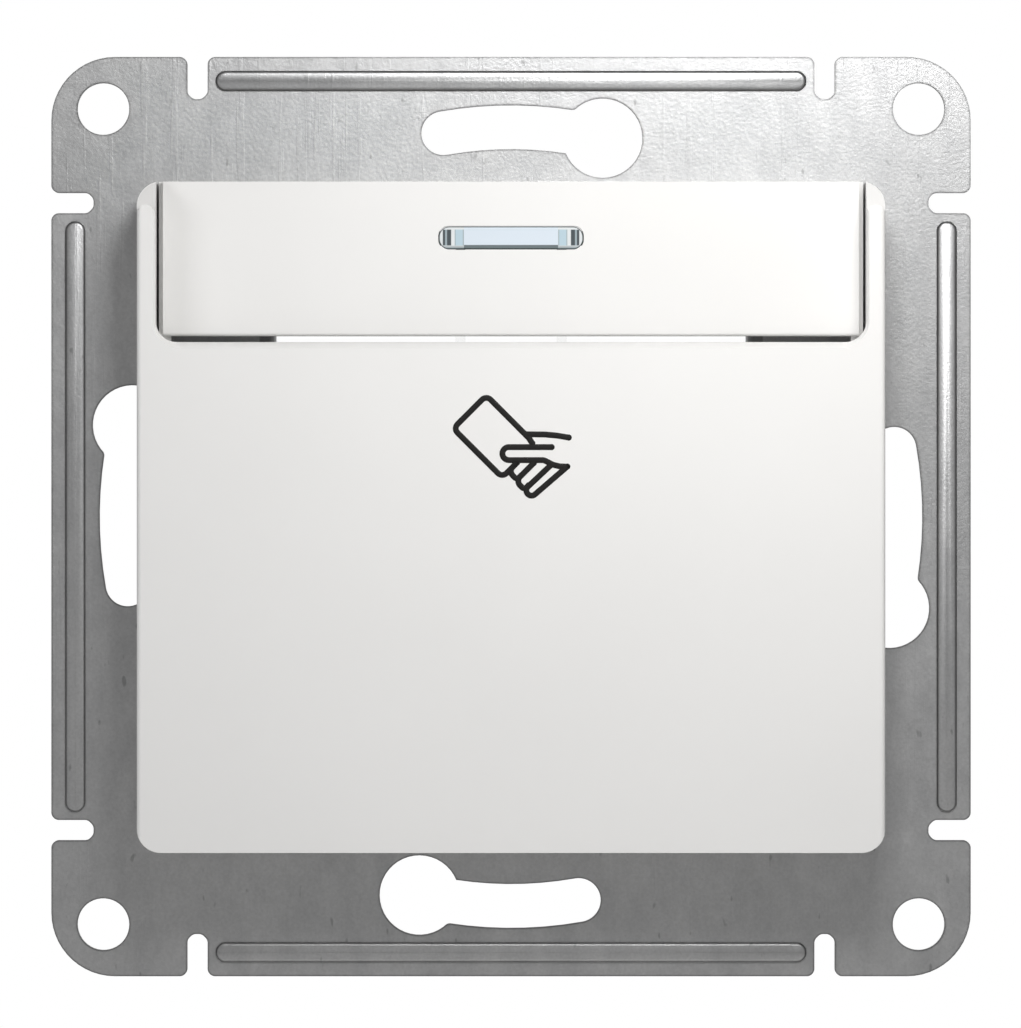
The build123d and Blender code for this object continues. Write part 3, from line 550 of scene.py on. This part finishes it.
def ink_line(corners, radius):
    """One flat line of ink with round ends, on the plane y = 0."""
    path = rounded_path(corners, radius)
    line = single_point((path[0].x, 0, path[0].y))
    for here, there in zip(path, path[1:]):
        run = (there - here) * MM
        if run.length > shortest_run * MM:
            bpy.ops.mesh.extrude_region_move(TRANSFORM_OT_translate={"value": (run.x, 0, run.y)})
    bpy.ops.object.mode_set(mode="OBJECT")
    bpy.ops.object.convert(target="CURVE")
    line.data.bevel_depth = line_width / 2 * MM
    line.data.bevel_resolution = line_steps
    line.data.use_fill_caps = True
    bpy.ops.object.convert(target="MESH")
    drops = []
    for end in (path[0], path[-1]):
        drop_everything()
        bpy.ops.mesh.primitive_uv_sphere_add(
            segments=drop_segments, ring_count=drop_rings, radius=line_width / 2 * MM,
            location=(end.x * MM, 0, end.y * MM),
        )
        drops.append(bpy.context.object)
    return [line] + drops


strokes = []
for corners, radius in sign_lines:
    strokes += ink_line(corners, radius)
for stroke in strokes:
    set_place(stroke)
card_sign = join(strokes, "card_sign")
card_sign.scale = (1, 2 * ink_thickness / line_width, 1)
card_sign.location = (picture_middle[0] * MM, cover_face * MM, picture_middle[1] * MM)
set_place(card_sign)
smooth(card_sign)
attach(card_sign, "device")
new_pieces["card_sign"] = card_sign
print("sign faces:", len(card_sign.data.polygons))

# %% [markdown]
# ## Building finishes
#
# Every finish is made of nodes that read the piece's own coordinates, so it stays on the piece
# when the piece moves. A few small helpers are enough: one starts a material, one makes a noise
# whose grain has a real size, one lays colours along a pattern and one along an axis, one joins
# two colours, and one turns a pattern into fine relief. Sizes are in millimetres here too.


# %% Helpers for finishes
noise_roughness = 0.55


def new_material(name, roughness, metallic=0.0):
    material = bpy.data.materials.new(name)
    material.use_nodes = True
    shader = material.node_tree.nodes["Principled BSDF"]
    shader.inputs["Roughness"].default_value = roughness
    shader.inputs["Metallic"].default_value = metallic
    return material, shader


def place(material, stretch=(1, 1, 1)):
    """The piece's own coordinates, stretched along its axes."""
    nodes = material.node_tree.nodes
    where = nodes.new("ShaderNodeTexCoord")
    mapping = nodes.new("ShaderNodeMapping")
    mapping.inputs["Scale"].default_value = stretch
    material.node_tree.links.new(where.outputs["Object"], mapping.inputs["Vector"])
    return mapping.outputs["Vector"]


def axis_span(material, axis, low, high, mirrored=False):
    """How far along an axis, from 0 at low to 1 at high, in millimetres of the piece."""
    nodes = material.node_tree.nodes
    links = material.node_tree.links
    parts = nodes.new("ShaderNodeSeparateXYZ")
    links.new(place(material, (1 / MM, 1 / MM, 1 / MM)), parts.inputs["Vector"])
    length = parts.outputs[axis]
    if mirrored:
        size = nodes.new("ShaderNodeMath")
        size.operation = "ABSOLUTE"
        links.new(length, size.inputs[0])
        length = size.outputs["Value"]
    span = nodes.new("ShaderNodeMapRange")
    span.inputs["From Min"].default_value = low
    span.inputs["From Max"].default_value = high
    links.new(length, span.inputs["Value"])
    return span.outputs["Result"]


def grain(material, size, stretch=(1, 1, 1), detail=4.0):
    """A noise between 0 and 1 whose patches are this many millimetres across."""
    noise = material.node_tree.nodes.new("ShaderNodeTexNoise")
    noise.inputs["Scale"].default_value = 1 / (size * MM)
    noise.inputs["Detail"].default_value = detail
    noise.inputs["Roughness"].default_value = noise_roughness
    material.node_tree.links.new(place(material, stretch), noise.inputs["Vector"])
    return noise.outputs["Fac"]


def ramp(material, factor, stops):
    """Colours or greys along a factor: (position, colour) pairs."""
    node = material.node_tree.nodes.new("ShaderNodeValToRGB")
    elements = node.color_ramp.elements
    while len(elements) < len(stops):
        elements.new(0.5)
    for element, (position, colour) in zip(elements, stops):
        element.position = position
        element.color = (*colour, 1)
    material.node_tree.links.new(factor, node.inputs["Fac"])
    return node.outputs["Color"]


def grey(level):
    return (level, level, level)


def patchy(material, pattern, low, high):
    """Two close colours that a pattern goes between."""
    return ramp(material, pattern, [(0.3, low), (0.7, high)])


def bands_along(material, axis, bands, mirrored=False):
    """Colours along an axis: (millimetres, colour) pairs in rising order."""
    low, high = bands[0][0], bands[-1][0]
    stops = [((where - low) / (high - low), colour) for where, colour in bands]
    return ramp(material, axis_span(material, axis, low, high, mirrored), stops)


def relief(material, shader, height, depth):
    """Turns a height pattern into relief this many millimetres deep."""
    nodes = material.node_tree.nodes
    bump = nodes.new("ShaderNodeBump")
    bump.inputs["Distance"].default_value = depth * MM
    bump.inputs["Strength"].default_value = 1.0
    links = material.node_tree.links
    links.new(height, bump.inputs["Height"])
    if shader.inputs["Normal"].links:
        links.new(shader.inputs["Normal"].links[0].from_socket, bump.inputs["Normal"])
    links.new(bump.outputs["Normal"], shader.inputs["Normal"])


def join_colours(material, first, second, share=None):
    """Multiplies two colours, or goes from the first to the second by a share."""
    mix = material.node_tree.nodes.new("ShaderNodeMix")
    mix.data_type = "RGBA"
    links = material.node_tree.links
    links.new(first, mix.inputs["A"])
    links.new(second, mix.inputs["B"])
    if share:
        links.new(share, mix.inputs["Factor"])
    else:
        mix.blend_type = "MULTIPLY"
        mix.inputs["Factor"].default_value = 1.0
    return mix.outputs["Result"]


def wire(material, output, shader, name):
    material.node_tree.links.new(output, shader.inputs[name])


# %% [markdown]
# ## Zinc-plated sheet
#
# The strap is cold-rolled sheet with a thin coat of zinc. Zinc grows in small grey patches, the
# rolls leave a faint grain, and handling leaves fine hair scratches. Patches tint the colour and
# the gloss a little, and the grain and the scratches are relief, a few microns deep. The sides
# that the punch cut and the flanks of the beads are painted darker than the faces as painted
# shade, so the colour also follows the depth, and a narrow dark line of painted shade follows
# each edge, where the sheet is rolled over.


# %% Zinc steel
zinc_patch = 2.6
zinc_speck = 0.22
zinc_speck_depth = 0.012
zinc_pit = 0.8
zinc_gloss_patch = 1.3
zinc_scratch = 0.7
zinc_scratch_depth = 0.003
painted_rim_shade_width = 0.34
rim_samples = 8
# painted shade: the beads' flanks and the strap's cut sides keep only part of the coat's
# brightness
painted_depth_shades = [    # place along Y, and the share of the coat's brightness there
    (-1.38, 1), (-1.338, 1),                    # the beads' tops
    (-1.296, 0.5), (-1.1, 0.62),                # their flanks
    (-1.009, 1), (-0.9964, 1),                  # the strap's front
    (-0.988, 0.5), (-0.008, 0.5),               # its cut sides
    (0.02, 1),                                  # its back
]


def edge_turn(material, width):
    """1 on a flat, and less within this width of an edge."""
    nodes = material.node_tree.nodes
    rolled = nodes.new("ShaderNodeBevel")
    rolled.samples = rim_samples
    rolled.inputs["Radius"].default_value = width * MM
    flat = nodes.new("ShaderNodeNewGeometry")
    turn = nodes.new("ShaderNodeVectorMath")
    turn.operation = "DOT_PRODUCT"
    links = material.node_tree.links
    links.new(rolled.outputs["Normal"], turn.inputs[0])
    links.new(flat.outputs["True Normal"], turn.inputs[1])
    return turn.outputs["Value"]


def zinc_steel():
    material, shader = new_material("zinc_steel", 0.39, metallic=1.0)
    patches = grain(material, zinc_patch, stretch=(1.6, 1, 0.7), detail=6)
    colour = patchy(material, patches, (0.53, 0.532, 0.535), (0.61, 0.61, 0.61))
    specks = grain(material, zinc_speck, detail=3)
    colour = join_colours(material, colour, patchy(material, specks, grey(0.88), grey(1)))
    pits = grain(material, zinc_pit, stretch=(1.3, 1, 0.6), detail=1)
    pits = ramp(material, pits, [(0.2, grey(0.7)), (0.26, grey(1))])
    colour = join_colours(material, colour, pits)
    # painted shade on the cut sides and the beads' flanks, laid by depth along Y
    cut = bands_along(material, "Y", [(depth, grey(level)) for depth, level in painted_depth_shades])
    colour = join_colours(material, colour, cut)
    # painted shade: a dark line along every edge of the sheet
    rim = ramp(material, edge_turn(material, painted_rim_shade_width), [(0.86, grey(0.42)), (0.995, grey(1))])
    wire(material, join_colours(material, colour, rim), shader, "Base Color")
    gloss = patchy(material, grain(material, zinc_gloss_patch), grey(0.36), grey(0.42))
    wire(material, gloss, shader, "Roughness")
    scratches = grain(material, zinc_scratch, stretch=(1.5, 1, 0.07), detail=2)
    scratches = ramp(material, scratches, [(0.6, grey(0)), (0.66, grey(1))])
    relief(material, shader, scratches, zinc_scratch_depth)
    relief(material, shader, specks, zinc_speck_depth)
    return material


# %% [markdown]
# ## White moulded plastic
#
# The cover and the card frame are glossy white thermoplastic, a very pale warm grey. A polished
# mould still leaves a slow waviness that shows only in reflections, so the relief is slight and
# the colour varies by about one part in a hundred.


# %% White plastic
white_patch = 14.0
white_gloss_patch = 5.0
white_wave = 6.0
white_wave_depth = 0.004


def white_plastic():
    material, shader = new_material("white_plastic", 0.24)
    shade = patchy(
        material, grain(material, white_patch, detail=1),
        (0.868, 0.864, 0.856), (0.882, 0.878, 0.87),
    )
    wire(material, shade, shader, "Base Color")
    gloss = grain(material, white_gloss_patch, detail=1)
    wire(material, patchy(material, gloss, grey(0.22), grey(0.26)), shader, "Roughness")
    relief(material, shader, grain(material, white_wave, detail=0), white_wave_depth)
    return material


# %% [markdown]
# ## The clear bar
#
# The light guide is a clear bar in a white panel. Its middle looks pale blue. The two legs behind
# it, which show through as blue squares with a thin dark outline, and the latches towards each
# end, which show through as narrow dark and white stripes, are a painted view through the bar.
# Seen from the front, these are bands across the bar, so the colour follows the distance from the
# bar's middle. A grey line of painted shade runs along the bottom edge, and a dark line of
# painted shade runs round the bar. The two legs that carry the light down behind the panel are
# clear.


# %% Clear plastic
lens_middle = 21.3             # height of the bar's middle, in the frame
lens_half_width = 5.51
lens_half_height = 0.865
lens_corner = 0.78
stripes_start = 3.6            # from the bar's middle to where the latches' stripes start
stripes_blend = 0.01
legs_below, legs_above = 20.025, 20.075    # the legs turn into the bar between these heights
clear_gloss_patch = 0.8
clear_index = 1.58
# colours of the parts behind as painted on the bar's face, and of its painted edge shade
pale_blue, leg_blue, mid_grey = (0.80, 0.89, 0.98), (0.58, 0.74, 0.83), (0.40, 0.48, 0.52)
latch_dark, latch_white, painted_edge_shade = (0.09, 0.11, 0.12), (0.86, 0.9, 0.92), (0.15, 0.17, 0.17)
seen_through_bands = [                 # outwards from the bar's middle
    (0.0, pale_blue), (3.60, pale_blue), (3.62, mid_grey), (3.67, mid_grey),
    (3.69, leg_blue), (4.23, leg_blue), (4.25, mid_grey), (4.29, mid_grey),
    (4.31, latch_white), (4.56, latch_white), (4.59, latch_dark), (4.87, latch_dark),
    (4.91, mid_grey), (5.02, mid_grey), (5.05, latch_dark), (5.20, latch_dark),
    (5.23, latch_white), (lens_half_width, latch_white),
]


def lens_edge(material):
    """From 0 well inside the lens to 1 at its rounded outline."""
    nodes = material.node_tree.nodes
    links = material.node_tree.links
    where = place(material, (1 / MM, 0, 1 / MM))
    where.node.inputs["Location"].default_value = (0, 0, -lens_middle)
    core = (lens_half_width - lens_corner, 0, lens_half_height - lens_corner)
    steps = [("ABSOLUTE", None), ("SUBTRACT", core), ("MAXIMUM", (0, 0, 0)), ("LENGTH", None)]
    for operation, value in steps:
        step = nodes.new("ShaderNodeVectorMath")
        step.operation = operation
        links.new(where, step.inputs[0])
        if value:
            step.inputs[1].default_value = value
        where = step.outputs["Value" if operation == "LENGTH" else "Vector"]
    span = nodes.new("ShaderNodeMapRange")
    span.inputs["From Max"].default_value = lens_corner
    links.new(where, span.inputs["Value"])
    return span.outputs["Result"]


def clear_plastic():
    material, shader = new_material("clear_plastic", 0.06)
    height = axis_span(
        material, "Z", lens_middle - lens_half_height, lens_middle + lens_half_height
    )
    # painted shade: a dark band along the bar's bottom edge, under the pale blue
    middle = ramp(
        material, height,
        [(0.0, painted_edge_shade), (0.05, (0.16, 0.2, 0.21)), (0.15, (0.19, 0.23, 0.24)),
         (0.17, (0.11, 0.14, 0.15)), (0.2, pale_blue), (1.0, pale_blue)],
    )
    # painted shade: a grey band along the bottom edge towards the ends
    edges = ramp(
        material, height, [(0.05, (0.3, 0.36, 0.38)), (0.2, latch_white), (1.0, latch_white)]
    )
    in_stripes = ramp(
        material, height, [(0.15, grey(0)), (0.18, grey(1)), (0.85, grey(1)), (0.88, grey(0))]
    )
    # painted view of the legs and latches behind, as they show through the bar
    stripes = bands_along(material, "X", seen_through_bands, mirrored=True)
    ends = join_colours(material, edges, stripes, in_stripes)
    at_end = bands_along(
        material, "X",
        [(0.0, grey(0)), (stripes_start - stripes_blend, grey(0)), (stripes_start, grey(1)),
         (lens_half_width, grey(1))],
        mirrored=True,
    )
    bar = join_colours(material, middle, ends, at_end)
    # painted shade: a dark line round the bar's outline
    outline = ramp(material, lens_edge(material), [(0.9, grey(1)), (0.93, painted_edge_shade)])
    bar = join_colours(material, bar, outline)
    in_bar = bands_along(material, "Z", [(legs_below, grey(0)), (legs_above, grey(1))])
    legs = ramp(material, height, [(0.0, grey(0.97)), (1.0, grey(0.98))])
    wire(material, join_colours(material, legs, bar, in_bar), shader, "Base Color")
    passing = ramp(material, in_bar, [(0.0, grey(1)), (1.0, grey(0.15))])
    wire(material, passing, shader, "Transmission Weight")
    shader.inputs["IOR"].default_value = clear_index
    gloss = patchy(material, grain(material, clear_gloss_patch), grey(0.04), grey(0.09))
    wire(material, gloss, shader, "Roughness")
    return material


# %% [markdown]
# ## Hidden plastics, metals and the board
#
# Behind the wall the base is satin thermoplastic with a fine spark-eroded grain. Contacts and
# clamps are drawn brass strip with grain along the strip, the rivets are silver alloy, screws
# and pins are zinc-plated, and the leaf springs are blued strip. The board is green laminate,
# whose glass weave shows faintly through the varnish.


# %% Finishes behind the wall
base_patch = 6.0
base_gloss_patch = 0.5
spark_grain, spark_depth = 0.16, 0.01
strip_streak, screw_streak = 0.35, 0.2
streak_depth = 0.003
strip_cloud = 1.8
weave_size, weave_depth = 0.45, 0.004
board_cloud = 3.0
lamp_patch = 0.5
lamp_glow = (0.4, 0.4, 0.3)    # how far red, green and blue light spread in the lamps
ceramic_patch = 0.3
ceramic_grain, ceramic_depth = 0.1, 0.006


def base_plastic():
    material, shader = new_material("base_plastic", 0.5)
    patches = grain(material, base_patch, detail=3)
    shade = patchy(material, patches, (0.60, 0.60, 0.575), (0.65, 0.65, 0.625))
    wire(material, shade, shader, "Base Color")
    gloss = patchy(material, grain(material, base_gloss_patch), grey(0.42), grey(0.56))
    wire(material, gloss, shader, "Roughness")
    relief(material, shader, grain(material, spark_grain, detail=2), spark_depth)
    return material


def strip_metal(name, low, high, roughness, streak=strip_streak):
    """Drawn or rolled metal: clouds of two close colours, and streaks along the strip."""
    material, shader = new_material(name, roughness, metallic=1.0)
    streaks = grain(material, streak, stretch=(1, 1, 0.12), detail=4)
    cloud = grain(material, strip_cloud, detail=3)
    wire(material, patchy(material, cloud, low, high), shader, "Base Color")
    gloss = patchy(material, streaks, grey(roughness - 0.07), grey(roughness + 0.1))
    wire(material, gloss, shader, "Roughness")
    relief(material, shader, streaks, streak_depth)
    return material


def board_laminate():
    material, shader = new_material("board_laminate", 0.3)
    weave = material.node_tree.nodes.new("ShaderNodeTexChecker")
    weave.inputs["Scale"].default_value = 1 / (weave_size * MM)
    weave.inputs["Color1"].default_value = (0.045, 0.17, 0.075, 1)
    weave.inputs["Color2"].default_value = (0.06, 0.20, 0.09, 1)
    material.node_tree.links.new(place(material), weave.inputs["Vector"])
    cloud = patchy(material, grain(material, board_cloud), grey(0.9), grey(1))
    wire(material, join_colours(material, weave.outputs["Color"], cloud), shader, "Base Color")
    relief(material, shader, weave.outputs["Fac"], weave_depth)
    return material


def lamp_plastic():
    material, shader = new_material("lamp_plastic", 0.18)
    patches = grain(material, lamp_patch)
    tint = patchy(material, patches, (0.82, 0.80, 0.66), (0.88, 0.87, 0.76))
    wire(material, tint, shader, "Base Color")
    shader.inputs["Subsurface Weight"].default_value = 0.15
    shader.inputs["Subsurface Radius"].default_value = [reach * MM for reach in lamp_glow]
    return material


def resistor_ceramic():
    material, shader = new_material("resistor_ceramic", 0.55)
    patches = grain(material, ceramic_patch)
    tint = patchy(material, patches, (0.46, 0.38, 0.24), (0.56, 0.47, 0.31))
    wire(material, tint, shader, "Base Color")
    relief(material, shader, grain(material, ceramic_grain), ceramic_depth)
    return material


# %% [markdown]
# ## Ink
#
# Pad-printing ink is a soft black with a slight sheen. It dries a little unevenly, so its gloss
# varies and its black is not perfect.


# %% Ink
ink_patch = 0.25
ink_gloss_patch = 0.4


def sign_ink():
    material, shader = new_material("sign_ink", 0.45)
    patches = grain(material, ink_patch)
    tint = patchy(material, patches, (0.006, 0.005, 0.005), (0.011, 0.01, 0.009))
    wire(material, tint, shader, "Base Color")
    gloss = patchy(material, grain(material, ink_gloss_patch), grey(0.45), grey(0.6))
    wire(material, gloss, shader, "Roughness")
    shader.inputs["Specular IOR Level"].default_value = 0.3
    return material


# %% Dressing every piece
finishes = {
    "zinc_steel": zinc_steel(),
    "white_plastic": white_plastic(),
    "clear_plastic": clear_plastic(),
    "base_plastic": base_plastic(),
    "brass": strip_metal("brass", (0.60, 0.42, 0.17), (0.72, 0.52, 0.24), 0.3),
    "contact_silver": strip_metal("contact_silver", (0.76, 0.74, 0.69), (0.86, 0.84, 0.8), 0.22),
    "screw_steel": strip_metal(
        "screw_steel", (0.48, 0.48, 0.49), (0.6, 0.6, 0.6), 0.3, screw_streak
    ),
    "spring_steel": strip_metal("spring_steel", (0.24, 0.25, 0.28), (0.33, 0.34, 0.37), 0.28),
    "board_laminate": board_laminate(),
    "lamp_plastic": lamp_plastic(),
    "resistor_ceramic": resistor_ceramic(),
}
for node, solid in frame["nodes"].items():
    for holder in solid.material_slots:
        holder.material = finishes[slot_of(node)]
for piece in new_pieces.values():
    piece.data.materials.clear()
    finish = finishes[piece["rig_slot"]] if "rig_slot" in piece else sign_ink()
    piece.data.materials.append(finish)
print("finishes:", len(finishes), "new pieces:", len(new_pieces))

# %% [markdown]
# ## Camera
#
# The photograph was taken from far away and dead ahead, so nearly nothing of the cover's sides
# shows. A long lens at 90 cm gives that view. The picture is a little taller than wide, and
# the sensor's width is measured along its longer side. The strap's width in the photograph gives
# the number of pixels to a millimetre in the plane of its front.

# %% The camera
picture_height = 1028          # pixels
pixels_per_mm = 12.985
camera_distance = 900.0
sensor_width = 36.0
nearest_seen, farthest_seen = 10.0, 20000.0
field = picture_height / pixels_per_mm
across, up = picture_middle
bpy.ops.object.camera_add(
    location=(across * MM, (strap_front - camera_distance) * MM, up * MM),
    rotation=(pi / 2, 0, 0),
)
camera = bpy.context.object
camera.data.sensor_width = sensor_width
camera.data.lens = sensor_width * camera_distance / field
camera.data.clip_start = nearest_seen * MM
camera.data.clip_end = farthest_seen * MM
bpy.context.scene.camera = camera
print("field of view:", round(field, 2), "mm, lens:", round(camera.data.lens, 1), "mm")

# %% [markdown]
# ## Light
#
# One small soft box stands close, on the right and above. Being close, it lights the upper right
# of the cover most and the lower left least, and the cover keeps it from the strap's left side
# and bottom. A larger box fills from far out on the left. Neither shows in reflections. A third
# box shows only in reflections, so it brightens the metal at the top right and leaves the plastic
# as it is. The room is dimmer at the sides than in front and behind, so rounded edges get a thin
# dark line. Seen directly or through clear plastic, it is plain white.


# %% Lamps
lamps = [    # name, place, size, watts, colour, lights surfaces, shows in reflections
    ("key_soft_box", (32, -90, 58), 45, 0.072, (1.0, 0.99, 0.97), True, False),
    ("left_soft_box", (-290, -300, 30), 150, 0.32, (0.99, 0.99, 1.0), True, False),
    ("metal_soft_box", (22, -145, 82), 50, 0.112, (1.0, 1.0, 1.0), False, True),
]


def soft_box(name, at, size, watts, colour, on_surfaces, in_reflections):
    """A square lamp that looks at the object's middle."""
    bpy.ops.object.light_add(type="AREA", location=[along * MM for along in at])
    lamp = bpy.context.object
    lamp.name = name
    lamp.data.shape = "SQUARE"
    lamp.data.size = size * MM
    lamp.data.energy = watts
    lamp.data.color = colour
    lamp.rotation_euler = (-lamp.location).to_track_quat("-Z", "Y").to_euler()
    lamp.visible_diffuse = on_surfaces
    lamp.visible_glossy = in_reflections


for lamp_settings in lamps:
    soft_box(*lamp_settings)
print("lamps:", len(lamps))

# %% The room
front_light = 0.285
side_light = 0.14
back_light = 0.40
wall_lights = [                # from straight in front, through the sides, to behind
    (0.0, front_light), (0.25, front_light), (0.5, side_light), (0.75, back_light),
]
world = bpy.data.worlds.new("white_studio")
bpy.context.scene.world = world
world.use_nodes = True
room = world.node_tree
background = room.nodes["Background"]
background.inputs["Color"].default_value = (1, 1, 1, 1)
direction = room.nodes.new("ShaderNodeTexCoord")
axes = room.nodes.new("ShaderNodeSeparateXYZ")
room.links.new(direction.outputs["Generated"], axes.inputs["Vector"])
depth = room.nodes.new("ShaderNodeMapRange")
depth.inputs["From Min"].default_value = -1.0
room.links.new(axes.outputs["Y"], depth.inputs["Value"])
walls = room.nodes.new("ShaderNodeValToRGB")
while len(walls.color_ramp.elements) < len(wall_lights):
    walls.color_ramp.elements.new(0.5)
for element, (position, light) in zip(walls.color_ramp.elements, wall_lights):
    element.position = position
    element.color = (light, light, light, 1)
room.links.new(depth.outputs["Result"], walls.inputs["Fac"])
ray = room.nodes.new("ShaderNodeLightPath")
seen = room.nodes.new("ShaderNodeMath")
seen.operation = "MAXIMUM"
room.links.new(ray.outputs["Is Camera Ray"], seen.inputs[0])
room.links.new(ray.outputs["Is Transmission Ray"], seen.inputs[1])
level = room.nodes.new("ShaderNodeMix")
room.links.new(seen.outputs["Value"], level.inputs["Factor"])
room.links.new(walls.outputs["Color"], level.inputs["A"])
level.inputs["B"].default_value = 1.0
room.links.new(level.outputs["Result"], background.inputs["Strength"])

# %% The floor
floor_height = -60.0
floor_size = 600.0
floor_patch = 40.0
drop_everything()
bpy.ops.mesh.primitive_plane_add(size=floor_size * MM, location=(0, 0, floor_height * MM))
floor = bpy.context.object
floor.name = "studio_floor"
set_place(floor)
floor_material, floor_shader = new_material("pale_floor", 0.6)
floor_patches = grain(floor_material, floor_patch)
floor_colour = patchy(floor_material, floor_patches, grey(0.86), grey(0.9))
wire(floor_material, floor_colour, floor_shader, "Base Color")
floor.data.materials.append(floor_material)

bpy.context.scene.view_settings.view_transform = "Standard"
